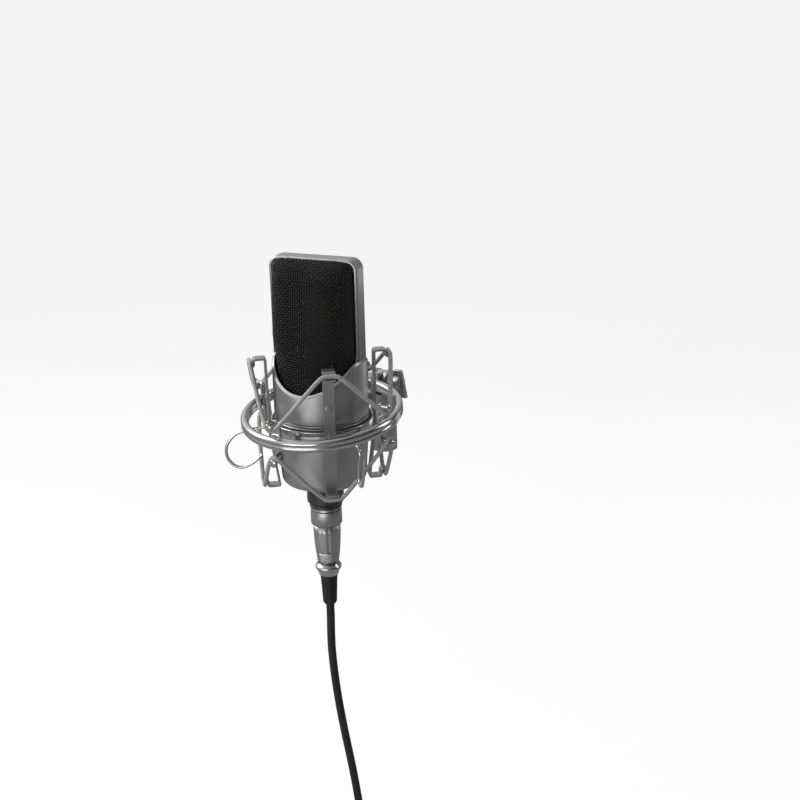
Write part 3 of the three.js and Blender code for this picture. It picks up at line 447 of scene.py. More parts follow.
def rounded(profile, radius, steps=3, closed=True):
    """A profile of [x, y] points with its corners rounded."""
    made = []
    count = len(profile)
    for index, corner in enumerate(profile):
        if not closed and index in (0, count - 1):
            made.append(tuple(corner))
            continue
        here = Vector(corner)
        before = Vector(profile[index - 1]) - here
        after = Vector(profile[(index + 1) % count]) - here
        reach = min(radius, before.length * 0.45, after.length * 0.45)
        start = here + before.normalized() * reach
        end = here + after.normalized() * reach
        for step in range(steps + 1):
            t = step / steps
            point = start * (1 - t) ** 2 + here * 2 * t * (1 - t) + end * t ** 2
            made.append((point.x, point.y))
    return made


def turned(profile, steps=96, radius_at=None):
    """A closed [radius, height] profile turned about Z. radius_at(angle, radius, height) may change it."""
    rows = []
    for radius, height in profile:
        row = []
        for step in range(steps):
            angle = 2 * pi * step / steps
            reach = radius_at(angle, radius, height) if radius_at else radius
            row.append((*polar(reach, angle), height))
        rows.append(row)
    points, faces = grid(rows, closed_rows=True)
    return without_doubles(points, [face[::-1] for face in faces])


def without_doubles(points, faces):
    """Merges points in the same place, as where a profile touches the axis."""
    places, index_of, remap = [], {}, []
    for point in points:
        key = tuple(round(value, 4) + 0.0 for value in point)
        if key not in index_of:
            index_of[key] = len(places)
            places.append(point)
        remap.append(index_of[key])
    kept = []
    for face in faces:
        corners = list(dict.fromkeys(remap[corner] for corner in face))
        if len(corners) > 2:
            kept.append(corners)
    return places, kept


def frames_along(points, closed):
    """Unit tangents, and two unit vectors across them that don't twist along the path."""
    count = len(points)
    if closed:
        tangents = np.roll(points, -1, 0) - np.roll(points, 1, 0)
    else:
        tangents = np.gradient(points, axis=0)
    tangents /= np.linalg.norm(tangents, axis=1)[:, None]
    previous = np.array([0.0, 0.0, 1.0] if abs(tangents[0][2]) < 0.9 else [1.0, 0.0, 0.0])
    across = np.zeros_like(points)
    for index in range(count):
        previous = previous - tangents[index] * (previous @ tangents[index])
        previous = previous / np.linalg.norm(previous)
        across[index] = previous
    return tangents, across, np.cross(tangents, across)


def tube(points, radius, sides=12, closed=False, radius_at=None):
    """A round tube along points. radius_at(angle, distance) may change its radius."""
    points = np.array([tuple(point) for point in points], float)
    _, across, upward = frames_along(points, closed)
    steps = np.linalg.norm(np.diff(points, axis=0), axis=1)
    distances = np.concatenate([[0], np.cumsum(steps)])
    rows = []
    for index, centre in enumerate(points):
        row = []
        for side in range(sides):
            angle = 2 * pi * side / sides
            reach = radius_at(angle, distances[index]) if radius_at else radius
            row.append(centre + reach * (across[index] * cos(angle) + upward[index] * sin(angle)))
        rows.append(row)
    made, faces = grid(rows, closed_rows=closed)
    if not closed:
        faces.append(list(range(sides))[::-1])
        faces.append([len(made) - sides + side for side in range(sides)])
    return made, faces


def between(first, second, start, end, t):
    """What is at first when t is start, and at second when t is end."""
    return first * ((end - t) / (end - start)) + second * ((t - start) / (end - start))


def smooth_path(points, spacing, closed=False):
    """A centripetal Catmull-Rom curve through points, cut into even steps."""
    points = [Vector(point) for point in points]
    count = len(points)
    if closed:
        padded = [points[-1], *points, points[0], points[1]]
    else:
        padded = [2 * points[0] - points[1], *points, 2 * points[-1] - points[-2]]
    fine = []
    for index in range(count if closed else count - 1):
        p0, p1, p2, p3 = padded[index:index + 4]
        t1 = (p1 - p0).length ** 0.5
        t2 = t1 + (p2 - p1).length ** 0.5
        t3 = t2 + (p3 - p2).length ** 0.5
        for step in range(16):
            t = t1 + (t2 - t1) * step / 16
            a1 = between(p0, p1, 0, t1, t)
            a2 = between(p1, p2, t1, t2, t)
            a3 = between(p2, p3, t2, t3, t)
            b1 = between(a1, a2, 0, t2, t)
            b2 = between(a2, a3, t1, t3, t)
            fine.append(between(b1, b2, t1, t2, t))
    fine.append(points[0] if closed else points[-1])
    places = np.array([tuple(point) for point in fine], float)
    distances = np.concatenate([[0], np.cumsum(np.linalg.norm(np.diff(places, axis=0), axis=1))])
    steps = max(2, round(distances[-1] / spacing))
    wanted = np.linspace(0, distances[-1], steps + 1)
    if closed:
        wanted = wanted[:-1]
    return np.stack([np.interp(wanted, distances, places[:, axis]) for axis in range(3)], axis=1)


def prism(outline, depth):
    """An [x, y] outline made into a slab centred on the XY plane."""
    count = len(outline)
    rows = [[(x, y, z) for x, y in outline] for z in (-depth / 2, depth / 2)]
    points, faces = grid(rows)
    faces.append(list(range(count))[::-1])
    faces.append([count + index for index in range(count)])
    return points, faces


def bevelled(made, width, segments=2, angle=35):
    """Rounds a piece's sharp edges."""
    modifier = made.modifiers.new("bevel", "BEVEL")
    modifier.width = width * MM
    modifier.segments = segments
    modifier.limit_method = "ANGLE"
    modifier.angle_limit = radians(angle)
    modifier.use_clamp_overlap = True
    modifier.harden_normals = True
    return made


def finish_cad_node(name, width=0.2):
    """Gives a CAD node that stays in view its material, welded facets and rounded edges."""
    node = frame["nodes"][name]
    node.data.materials.clear()
    node.data.materials.append(MATERIALS[NODE_SLOTS[name]])
    node.data.polygons.foreach_set("material_index", [0] * len(node.data.polygons))
    node.data.polygons.foreach_set("use_smooth", [True] * len(node.data.polygons))
    weld = node.modifiers.new("weld", "WELD")
    weld.merge_threshold = 0.000005
    bevelled(node, width)


# ---- Cord ------------------------------------


def in_cable_plane(side, height, depth=0.0):
    """A point of the lead's upright plane, in the cradle's frame."""
    return facing(CABLE_AZIMUTH) @ Vector((-depth, side, height))


COIL_SIDE = CABLE_ROUTE[-1][0] - COIL_RADIUS
COIL_HEIGHT = CABLE_ROUTE[-1][1] - COIL_CLEARANCE
BOOT_HEIGHT = COIL_HEIGHT - COIL_CLEARANCE


def coil_cells():
    """Places of the turns in the bundle: [radius, depth], up and down its rows."""
    pitch = 2 * CABLE_RADIUS
    middle = (COIL_ROWS - 1) / 2
    cells = []
    for column in range(COIL_ROWS):
        rows = range(COIL_ROWS) if column % 2 == 0 else reversed(range(COIL_ROWS))
        for row in rows:
            cells.append((COIL_RADIUS + (middle - row) * pitch, (column - middle) * pitch))
    return cells


def coil_points():
    """The turns, from the top right of the coil clockwise, with a step to the next cell in each."""
    cells = coil_cells()
    steps = 48
    start, end = CELL_CHANGE
    total = len(cells) - 1 + COIL_ENTRY / pi
    points = []
    for step in range(round(total * steps) + 1):
        turn = step / steps
        cell = min(int(turn), len(cells) - 1)
        share = min(max((turn - cell - start) / (end - start), 0), 1)
        share = share * share * (3 - 2 * share)
        following = cells[min(cell + 1, len(cells) - 1)]
        radius = cells[cell][0] + (following[0] - cells[cell][0]) * share
        depth = cells[cell][1] + (following[1] - cells[cell][1]) * share
        angle = COIL_ENTRY - 2 * pi * turn
        points.append((*polar(radius, angle, COIL_SIDE, COIL_HEIGHT), depth))
    return points


def cord_route():
    """The whole lead as points in the cradle's frame, from the plug's boot to the far boot."""
    hanging = [(side, height, 0.0) for side, height in CABLE_ROUTE]
    turns = coil_points()
    boot = [(CABLE_ROUTE[-1][0], BOOT_HEIGHT + 4, 0.0), (CABLE_ROUTE[-1][0], BOOT_HEIGHT - 0.3, 0.0)]
    whole = [in_cable_plane(*point) for point in [*hanging, *turns, *boot]]
    return smooth_path(whole, 3.0)


def add_cord():
    route = cord_route()
    data = bpy.data.curves.new("microphone_lead", "CURVE")
    data.dimensions = "3D"
    data.bevel_depth = CABLE_RADIUS * MM
    data.bevel_resolution = 4
    data.use_fill_caps = True
    spline = data.splines.new("POLY")
    spline.points.add(len(route) - 1)
    for point, place in zip(spline.points, route):
        point.co = (*(CRADLE @ (Vector(place) * MM)), 1)
    spline.use_smooth = True
    data.materials.append(MATERIALS["cable_jacket"])
    lead = new_object("microphone_lead", data)
    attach(lead, "lead")
    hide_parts("cable_run", "cable_coil")
    return lead


# ---- Elastics --------------------------------

BRAID_STRANDS = 8
BRAID_LAY = 5.0  # distance in which a strand goes once round the cord
BRAID_DEPTH = 0.13


def braid_radius(angle, distance):
    """Two sets of strands crossing over and under each other."""
    turn = 2 * pi * distance / BRAID_LAY
    one = cos(BRAID_STRANDS / 2 * (angle + turn))
    other = cos(BRAID_STRANDS / 2 * (angle - turn))
    return ELASTIC_RADIUS - BRAID_DEPTH + BRAID_DEPTH * max(one, other)


def elastic_route(reach, hook_height, pin_height, upward):
    """One elastic zigzags between four hooks and four pins. upward is 1 for the upper one."""
    across_hook = ((-4.7, -0.5), (-3.2, 0), (3.2, 0), (4.7, -0.5))
    round_pin = ((-2.4, 1.8), (0, 3), (2.4, 1.8))
    droop = Matrix.Rotation(RING_DROOP, 4, "X")
    points = []
    for pin_azimuth, post_azimuth in zip(BRACKET_AZIMUTHS, POST_AZIMUTHS):
        for side, rise in round_pin:
            place = Vector((PIN_REACH, side, pin_height - upward * rise))
            points.append(droop @ (facing(pin_azimuth) @ place))
        for side, rise in across_hook:
            points.append(facing(post_azimuth) @ Vector((reach, side, hook_height + upward * rise)))
    return points


def add_elastics():
    from_hook = POST_THICKNESS / 2 + GAP + ELASTIC_RADIUS
    for name, hook_reach, hook_height, upward in (
        ("upper_elastic", UPPER_HOOK_REACH, POST_TOP - HOOK_RETURN + from_hook, 1),
        ("lower_elastic", LOWER_HOOK_REACH, POST_BOTTOM + HOOK_RETURN - from_hook, -1),
    ):
        route = elastic_route(hook_reach + from_hook, hook_height, upward * PIN_HEIGHT, upward)
        shape = tube(smooth_path(route, 0.5, closed=True), ELASTIC_RADIUS, 16, True, braid_radius)
        cord = piece(f"braided_{name}", shape, CRADLE, None, "grey_elastic", [name])
        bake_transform(cord)


# ---- Head: woven grilles and their arch ------

GRILLE_FOOT = 16.3
GRILLE_TOP = 91.1
GRILLE_RADIUS = 24.6
GRILLE_CORNER = 4
GRILLE_LOW_DEPTH = 0.97  # front-to-back squeeze at the foot
GRILLE_HIGH_DEPTH = 0.66  # and where the grille starts to round over towards the arch
GRILLE_TURN_HEIGHT = 78
GRILLE_EDGE_DEPTH = 0.2  # share of its depth that it keeps at the top
GRILLE_ROUND_HEIGHT = 35  # the grille's section is round up to here, to fit inside the body
GRILLE_SQUARE_HEIGHT = 48  # and squarer from here up
GRILLE_EDGE = 4.6  # the wires end inside the arch, this far from its middle plane
WEAVE_PITCH = 1.45
WIRE_RADIUS = 0.26
LINING_WIRE_RADIUS = 0.52
INNER_SCALE = 0.955  # the dense inner mesh lies just behind the outer one


def grille_radius_line():
    """Radius and height along the grille's side, from its foot to the middle of its top."""
    centre = GRILLE_TOP - GRILLE_CORNER
    inner = GRILLE_RADIUS - GRILLE_CORNER
    straight = [(GRILLE_RADIUS, z) for z in np.linspace(GRILLE_FOOT, centre, 160)]
    corner = [polar(GRILLE_CORNER, angle, inner, centre) for angle in np.linspace(0, pi / 2, 30)]
    top = [(r, GRILLE_TOP) for r in np.linspace(inner, 0, 60)]
    return np.array(straight + corner[1:] + top[1:])


GRILLE_LINE = grille_radius_line()


def grille_depth_share(height):
    """Share of its full depth that the grille has at each height."""
    rise = np.clip((height - GRILLE_FOOT) / (GRILLE_TURN_HEIGHT - GRILLE_FOOT), 0, 1)
    leaning = GRILLE_LOW_DEPTH + (GRILLE_HIGH_DEPTH - GRILLE_LOW_DEPTH) * rise
    over = np.clip((height - GRILLE_TURN_HEIGHT) / (GRILLE_TOP - GRILLE_TURN_HEIGHT), 0, 1)
    rounding = np.sqrt(1 - over ** 2)
    return leaning * (GRILLE_EDGE_DEPTH + (1 - GRILLE_EDGE_DEPTH) * rounding)


def section_power(height):
    """Power of the curve across the grille: 2 is round, and 3 is squarer."""
    band = GRILLE_SQUARE_HEIGHT - GRILLE_ROUND_HEIGHT
    return 2 + np.clip((height - GRILLE_ROUND_HEIGHT) / band, 0, 1)


def grille_strip(side):
    """The grille's line at one sideways place: distances along it, depths and heights."""
    radius, height = GRILLE_LINE[:, 0], GRILLE_LINE[:, 1]
    power = section_power(height)
    room = np.maximum(radius ** power - abs(side) ** power, 0)
    depth = grille_depth_share(height) * room ** (1 / power)
    along = np.concatenate([[0], np.cumsum(np.hypot(np.diff(depth), np.diff(height)))])
    inside = depth > GRILLE_EDGE
    start = int(np.argmax(inside))
    end = start + int(np.argmin(np.append(inside[start:], False)))
    return along[start:end], depth[start:end], height[start:end]


def arc_table():
    """Sideways places on the front of the grille, and their distances round its section."""
    sides = GRILLE_RADIUS * np.sin(np.linspace(0, pi / 2, 400))
    middle = (GRILLE_LOW_DEPTH + GRILLE_HIGH_DEPTH) / 2
    depths = middle * (GRILLE_RADIUS ** 3 - sides ** 3) ** (1 / 3)
    arcs = np.concatenate([[0], np.cumsum(np.hypot(np.diff(sides), np.diff(depths)))])
    kept = depths > GRILLE_EDGE
    return sides[kept], arcs[kept]


SIDES, ARCS = arc_table()


def side_at(arc):
    return copysign(float(np.interp(abs(arc), ARCS, SIDES)), arc)


def wire(points, lift, radius):
    """A wire along points of the grille, lifted from it along its normals."""
    points = np.array(points)
    outward = points - np.array([0, 0, 50.0])
    outward[:, 2] *= np.clip((points[:, 2] - GRILLE_TURN_HEIGHT) / 10, 0, 1)
    outward /= np.linalg.norm(outward, axis=1)[:, None]
    return tube(points + outward * np.array(lift)[:, None], radius, 5)


def upright_wires(count, radius):
    made = []
    for index in range(-count, count + 1):
        side = side_at(index * WEAVE_PITCH)
        along, depth, height = grille_strip(side)
        distances = np.arange(along[0], along[-1], WEAVE_PITCH / 4)
        depths = np.interp(distances, along, depth)
        heights = np.interp(distances, along, height)
        points = np.stack([np.full_like(distances, side), -depths, heights], axis=1)
        sign = 1 if index % 2 == 0 else -1
        wave = np.cos(pi * distances / WEAVE_PITCH)
        made.append(wire(points, sign * WIRE_RADIUS * wave, radius))
    return made


def level_wires(count, radius):
    made = []
    arcs = np.arange(-count * WEAVE_PITCH, count * WEAVE_PITCH + 0.01, WEAVE_PITCH / 4)
    strips = [grille_strip(side_at(arc)) for arc in arcs]
    longest = max(along[-1] for along, _, _ in strips)
    for index in range(1, int(longest / WEAVE_PITCH) + 1):
        distance = index * WEAVE_PITCH
        sign = -1 if index % 2 == 0 else 1
        run, lift = [], []
        for arc, (along, depth, height) in zip(arcs, strips):
            if along[0] <= distance <= along[-1]:
                point = (np.interp(distance, along, depth), np.interp(distance, along, height))
                run.append((side_at(arc), -point[0], point[1]))
                lift.append(sign * WIRE_RADIUS * cos(pi * arc / WEAVE_PITCH))
        if len(run) > 2:
            made.append(wire(run, lift, radius))
    return made


def woven_front(radius):
    """Upright and level wires of the front, each passing over and under the others."""
    count = int(ARCS[-1] / WEAVE_PITCH)
    return joined(*upright_wires(count, radius), *level_wires(count, radius))


def add_grilles():
    weave = woven_front(WIRE_RADIUS)
    lining = woven_front(LINING_WIRE_RADIUS)
    shrunk = Matrix.Diagonal((INNER_SCALE, INNER_SCALE, 1, 1))
    for side, place in SIDES_OF_HEAD:
        name = f"{side}_grille"
        piece(f"woven_{name}", weave, place, "microphone", "black_mesh", [name])
        behind = shifted(place @ shrunk, (WEAVE_PITCH / 2, 0, -WEAVE_PITCH / 2))
        piece(f"inner_{name}", lining, behind, "microphone", "black_mesh")


def half_arch(inset, leg_taper):
    """The right half of the arch's line, from a leg's foot to the top, this far inside the outline."""
    leg, side, top = (edge - inset for edge in (HEAD_TONGUE, HEAD_HALF_WIDTH, HEAD_TOP))
    radius = HEAD_CORNER - inset
    return [
        (leg, GRILLE_FOOT), (leg, HEAD_LEDGE + inset), (side, HEAD_LEDGE + leg_taper),
        *(polar(radius, angle, side - radius, top - radius) for angle in np.linspace(0, pi / 2, 13)),
    ]


def arch_outline():
    """The arch and its two legs, as one closed [x, z] outline."""
    outer, inner = half_arch(0, 0), half_arch(HEAD_BAND, LEG_TAPER)
    outer_left, inner_left = ([(-x, z) for x, z in line] for line in (outer, inner))
    return [*outer, *outer_left[::-1], *inner_left, *inner[::-1]]


def is_outer(x, z):
    """Whether a point of the arch's outline lies on its outside, above the body."""
    slack = 0.01
    from_corner_x, from_corner_z = abs(x) - HEAD_HALF_WIDTH + HEAD_CORNER, z - HEAD_TOP + HEAD_CORNER
    if from_corner_x > 0 and from_corner_z > 0:
        return hypot(from_corner_x, from_corner_z) > HEAD_CORNER - slack
    return abs(x) > HEAD_HALF_WIDTH - slack or z > HEAD_TOP - slack


def soften_arch(arch, outline):
    """Rounds the arch's outer edges more than those under the mesh."""
    count = len(outline)
    outer = {index for index, (x, z) in enumerate(outline) if is_outer(x, z)}
    weights = arch.data.attributes.new("bevel_weight_edge", "FLOAT", "EDGE")
    for edge in arch.data.edges:
        first, second = edge.vertices
        if first // count == second // count:
            outside = {first % count, second % count} <= outer
            weights.data[edge.index].value = 1.0 if outside else 0.2
    bevelled(arch, HEAD_ROUNDING, 5).modifiers["bevel"].limit_method = "WEIGHT"


def add_head_frame():
    outline = arch_outline()
    shape = moved(prism(outline, HEAD_DEPTH), UPRIGHT)
    arch = piece("head_arch", shape, MICROPHONE, "microphone", "satin_nickel", ["head_frame"])
    soften_arch(arch, outline)


# ---- Body ------------------------------------


def rim_height(angle):
    """Height of the upper body's rim: the shoulder, cut down by a circle seen from the front."""
    side = BODY_RADIUS * sin(angle)
    cut = CUT_LOWEST + CUT_RADIUS - sqrt(CUT_RADIUS ** 2 - side ** 2)
    both = sum(exp(-height / SHOULDER_SOFTNESS) for height in (SHOULDER_HEIGHT, cut))
    return -SHOULDER_SOFTNESS * log(both)


def add_upper_body():
    columns = 216
    inside = BODY_RADIUS - BODY_WALL
    sections = []
    for step in range(columns):
        angle = 2 * pi * step / columns
        rim = rim_height(angle)
        section = [
            (BODY_RADIUS, SEAM_HALF_GAP), (BODY_RADIUS, 8), (BODY_RADIUS, rim - 1.5),
            (BODY_RADIUS - 1.15, rim), (inside, rim - 0.2), (inside, SEAM_HALF_GAP),
        ]
        turn = Matrix.Rotation(angle, 4, "Z")
        sections.append([turn @ Vector((0, -r, z)) for r, z in rounded(section, 0.55)])
    rows = list(map(list, zip(*sections)))
    shape = grid(rows, closed_rows=True)
    piece("upper_shell", shape, MICROPHONE, "microphone", "satin_nickel", ["upper_body"])


def lower_body_profile():
    """Radii and heights from the socket's hole, round the foot and up to the seam."""
    profile = [(SOCKET_HOLE, BODY_FOOT), (15, BODY_FOOT)]
    low, high = BODY_FOOT + FOOT_ROUNDING, -SEAM_HALF_GAP
    for angle in np.linspace(-pi / 2, 0, 9):
        profile.append(polar(FOOT_ROUNDING, angle, BODY_FOOT_RADIUS - FOOT_ROUNDING, low))
    window_foot, window_top = SWITCH_HEIGHT - WINDOW_HALF_HEIGHT, SWITCH_HEIGHT + WINDOW_HALF_HEIGHT
    for height in (-31, window_foot, window_top, -8, high):
        share = (height - low) / (high - low)
        profile.append((BODY_FOOT_RADIUS + (BODY_RADIUS - BODY_FOOT_RADIUS) * share, height))
    return profile


def add_lower_body():
    """A turned shell, less the faces in front of the two switches."""
    columns = 180
    angles = [2 * pi * step / columns for step in range(columns)]
    profile = lower_body_profile()
    rows = [[(r * sin(a), -r * cos(a), height) for a in angles] for r, height in profile]
    points, faces = grid(rows)
    window_row = len(profile) - 4  # between the window's foot and its top
    kept = []
    for index, face in enumerate(faces):
        row, column = divmod(index, columns)
        middle = (column + 0.5) * 360 / columns
        from_switch = min(abs(middle - 180 - side * SWITCH_AZIMUTH) for side in (-1, 1))
        if row != window_row or from_switch > WINDOW_HALF_ANGLE:
            kept.append(face)
    shell = piece("lower_shell", (points, kept), MICROPHONE, "microphone", "satin_nickel", ["lower_body"])
    solid = shell.modifiers.new("wall", "SOLIDIFY")
    solid.thickness = BODY_WALL * MM
    solid.offset = -1
    bevelled(shell, 0.5, 3, 50)


# ---- Ring, brackets and posts ---------------


def dome(radius, height, flat=0.35):
    """A rivet head standing on the XY plane."""
    profile = [(0.0, -0.2), (radius, -0.2), (radius, flat)]
    for angle in np.linspace(0.3, pi / 2, 6):
        profile.append((radius * cos(angle), flat + (height - flat) * sin(angle)))
    return turned(profile, 24)


def along_x(shape, reach, height=0.0):
    """Turns a shape that stands along Z, so that it points outwards at a reach."""
    return moved(shape, Matrix.Translation((reach, 0, height)) @ Matrix.Rotation(pi / 2, 4, "Y"))


def rounded_plate(half_width, half_height, thickness, radius):
    corners = [(-1, -1), (1, -1), (1, 1), (-1, 1)]
    outline = [(half_height * up, half_width * side) for up, side in corners]
    return prism(rounded(outline, radius, 6), thickness)


def add_ring():
    """Two polished beads that run into each other, turned as one ring."""
    meeting = asin(BEAD_HEIGHT / BEAD_RADIUS)
    profile = []
    for height, start, end in (
        (BEAD_HEIGHT, -meeting, pi + meeting),
        (-BEAD_HEIGHT, pi - meeting, 2 * pi + meeting),
    ):
        for angle in np.linspace(start, end, 28)[:-1]:
            profile.append(polar(BEAD_RADIUS, angle, RING_RADIUS, height))
    piece("beaded_ring", turned(profile, 144), RING, "ring", "chrome", ["outer_ring"])


def add_brackets():
    """Plates riveted to the inside of the ring, each with a headed pin for either elastic."""
    thickness = BRACKET_OUTER - BRACKET_INNER
    plate = rounded_plate(BRACKET_WIDTH / 2, BRACKET_HALF_HEIGHT, thickness, 2.2)
    foot, head = BRACKET_INNER + 0.4, PIN_REACH + ELASTIC_RADIUS + 0.2
    pin_profile = [
        (0, foot), (PIN_RADIUS, foot), (PIN_RADIUS, head), (PIN_HEAD_RADIUS, head + 0.1),
        (PIN_HEAD_RADIUS, head + 0.8), (1.5, head + 1.2), (0, head + 1.25),
    ]
    pin = turned(rounded(pin_profile, 0.15), 28)
    inwards = Matrix.Rotation(pi, 4, "Z")
    rivet = dome(RIVET_RADIUS, 0.8)
    shape = joined(
        along_x(plate, BRACKET_INNER + thickness / 2),
        *(along_x(pin, 0, height) for height in (PIN_HEIGHT, -PIN_HEIGHT)),
        *(
            moved(along_x(rivet, -BRACKET_INNER, height), inwards)
            for height in (2.2, -2.2, PIN_HEIGHT, -PIN_HEIGHT)
        ),
    )
    for azimuth, name in zip(BRACKET_AZIMUTHS, ("front", "right", "rear", "left")):
        made = moved(shape, facing(azimuth))
        bracket = piece(f"bracket_{name}", made, RING, "ring", "chrome", [f"ring_bracket_{name}"])
        bevelled(bracket, 0.25)


def strip(line, thickness, width):
    """A flat strip bent along [reach, height] points, as wide as given."""
    points = [Vector(point) for point in line]
    sides = {-1: [], 1: []}
    for index, here in enumerate(points):
        before = points[max(index - 1, 0)]
        after = points[min(index + 1, len(points) - 1)]
        direction = (after - before).normalized()
        normal = Vector((-direction.y, direction.x))
        for side in sides:
            sides[side].append(here + normal * side * thickness / 2)
    outline = [tuple(point) for point in sides[-1] + sides[1][::-1]]
    return moved(prism(outline, width), UPRIGHT)


def add_posts():
    """Four bent strips, riveted to the clamp band and hooked at both ends."""
    middle = BAND_OUTER + GAP + POST_THICKNESS / 2
    bend = [
        (LOWER_HOOK_REACH + HOOK_CURL, POST_BOTTOM + HOOK_RETURN),
        (LOWER_HOOK_REACH, POST_BOTTOM + HOOK_RETURN), (LOWER_HOOK_REACH, POST_BOTTOM),
        (POST_LOWER_BEND, POST_BOTTOM), (middle, BAND_FOOT - 1), (middle, BAND_TOP + 1),
        (POST_UPPER_BEND, POST_TOP), (UPPER_HOOK_REACH, POST_TOP),
        (UPPER_HOOK_REACH, POST_TOP - HOOK_RETURN),
        (UPPER_HOOK_REACH + HOOK_CURL, POST_TOP - HOOK_RETURN),
    ]
    face = middle + POST_THICKNESS / 2
    shape = joined(
        strip(rounded(bend, 1.2, 5, closed=False), POST_THICKNESS, POST_WIDTH),
        along_x(dome(RIVET_RADIUS, 0.7), face, -3.8),
        along_x(dome(RIVET_RADIUS, 0.7), face, -8.2),
        along_x(dome(2.3, 0.6), face + 0.15, 12.5),
    )
    for index, azimuth in enumerate(POST_AZIMUTHS, 1):
        made = moved(shape, facing(azimuth))
        node = f"cradle_post_{index}"
        post = piece(f"riveted_post_{index}", made, CRADLE, "cradle", "satin_nickel", [node])
        bevelled(post, 0.3, 3)


HANDLE_WIRE = 0.95
# Node, body, azimuth, and the wire's route as distances from the axis and heights.
HANDLES = (
    ("release_handle_left", "left_handle", 298, (
        (31, -8), (36, -10), (44, -11.6), (52, -14.6), (57.5, -22), (57, -30), (51, -35), (43, -32.5),
        (36.5, -26.5),
    )),
    ("release_handle_right", "right_handle", 66, (
        (31, -8), (36, -8.4), (40.5, -9.6), (42.4, -13), (41, -19), (40, -25), (40.6, -30.5),
        (42.8, -32), (44.6, -28), (46, -21), (46.8, -14),
    )),
)


def add_handles():
    for node, body, azimuth, line in HANDLES:
        route = smooth_path([(radius, 0, height) for radius, height in line], 0.7)
        shape = moved(tube(route, HANDLE_WIRE, 14), facing(azimuth))
        made = piece(f"bent_{node}", shape, CRADLE, body, "chrome", [node])
        bevelled(made, 0.3)


# ---- Collar, plug and the far connector ------


def add_collar():
    profile = [
        (8.3, -58), (9.6, -58), (9.6, -56.6), (9.2, -56.4), (9.2, -55.8), (9.6, -55.6), (10.9, -54.4),
        (10.9, -47.4), (12.2, -46.6), (12.2, -41.3), (8.3, -41.3),
    ]
    shape = turned(rounded(profile, 0.35))
    piece("turned_collar", shape, MICROPHONE, "microphone", "dark_metal", ["base_collar"])


# Each is a distance from the microphone's axis and a height.
PLUG_SHELL = ((6.3, -94.6), (6.9, -90.8), (7.45, -86), (7.9, -80), (8.2, -74), (8.3, -68.9))
BUSHING = (
    (0, -102.6), (5.9, -102.6), (6.1, -101.2), (6.9, -99.8), (6.9, -99), (7.6, -98.5), (7.9, -97.7),
    (7.9, -96.9), (7.5, -96.1), (6.8, -95.6), (6.4, -94.9), (0, -94.9),
)
FLUTES = 12
FLUTE_DEPTH = 0.35
PANEL_FOOT = -92.8
PANEL_TOP = -86.6
PANEL_HALF_ANGLE = 30  # degrees
PANEL_AZIMUTH = 14
PANEL_THICKNESS = 0.4
PLUG_BOOT_TOP = -102.9
PLUG_BOOT_FOOT = -122.4
BOOT_FLUTES = 14
BOOT_FLUTE_DEPTH = 0.18
# Distances along a boot, as shares of its length, and its radii there.
BOOT_PROFILE = (
    (0, 4.9), (0.04, 5.2), (0.2, 5), (0.4, 4.8), (0.6, 4.6), (0.8, 4.4), (0.9, 4.3), (0.94, 4.1),
    (1, 3.3),
)


def plug_shell_radius(height):
    radii, heights = zip(*PLUG_SHELL)
    return np.interp(height, heights, radii)


def fluted_shell(angle, radius, height):
    """Shallow flutes that fade out at both ends of the shell."""
    top, foot = PLUG_SHELL[-1][1], PLUG_SHELL[0][1]
    fade = min(max((top - height) / 3, 0), 1) * min(max((height - foot) / 3, 0), 1)
    return radius - FLUTE_DEPTH * fade * (0.5 + 0.5 * cos(FLUTES * angle)) ** 2


def add_plug():
    shell = turned([(5.2, PLUG_SHELL[0][1]), *PLUG_SHELL, (7.0, PLUG_SHELL[-1][1])], 144, fluted_shell)
    piece("fluted_shell", shell, MICROPHONE, "lead", "satin_nickel", ["plug_shell"])
    add_panel()
    bushing = turned(rounded(BUSHING, 0.4))
    piece("beaded_bushing", bushing, MICROPHONE, "lead", "chrome", ["plug_bushing"])
    add_boot("ribbed_plug_boot", "plug_boot", MICROPHONE, PLUG_BOOT_TOP, PLUG_BOOT_FOOT)


def add_panel():
    """A small blank plate, bent to the plug's shell."""
    angles = np.radians(np.linspace(-PANEL_HALF_ANGLE, PANEL_HALF_ANGLE, 13))
    rows = []
    for height in np.linspace(PANEL_FOOT, PANEL_TOP, 7):
        radius = plug_shell_radius(height) + PANEL_THICKNESS / 2
        rows.append([(-radius * sin(a), -radius * cos(a), height) for a in angles])
    place = MICROPHONE @ Matrix.Rotation(radians(PANEL_AZIMUTH), 4, "Z")
    panel = piece("blank_panel", grid(rows, closed_columns=False), place, "lead", "satin_nickel")
    panel.data.materials[0] = satin_metal("panel_plate", 0.68, 0.5)
    panel.modifiers.new("thickness", "SOLIDIFY").thickness = PANEL_THICKNESS * MM


def add_boot(name, node, place, wide_end, narrow_end):
    """A tapered rubber strain relief with shallow flutes and a chamfered end."""
    length = narrow_end - wide_end

    def fluted(angle, radius, height):
        share = (height - wide_end) / length
        fade = min(max(share * 6, 0), 1) * min(max((0.9 - share) * 8, 0), 1)
        return radius - BOOT_FLUTE_DEPTH * fade * (0.5 + 0.5 * cos(BOOT_FLUTES * angle))

    outer = [(radius, wide_end + share * length) for share, radius in BOOT_PROFILE]
    profile = [(0, wide_end), *outer, (0, narrow_end)]
    if length < 0:
        profile = profile[::-1]
    piece(name, turned(profile, 84, fluted), place, "lead", "black_rubber", [node])


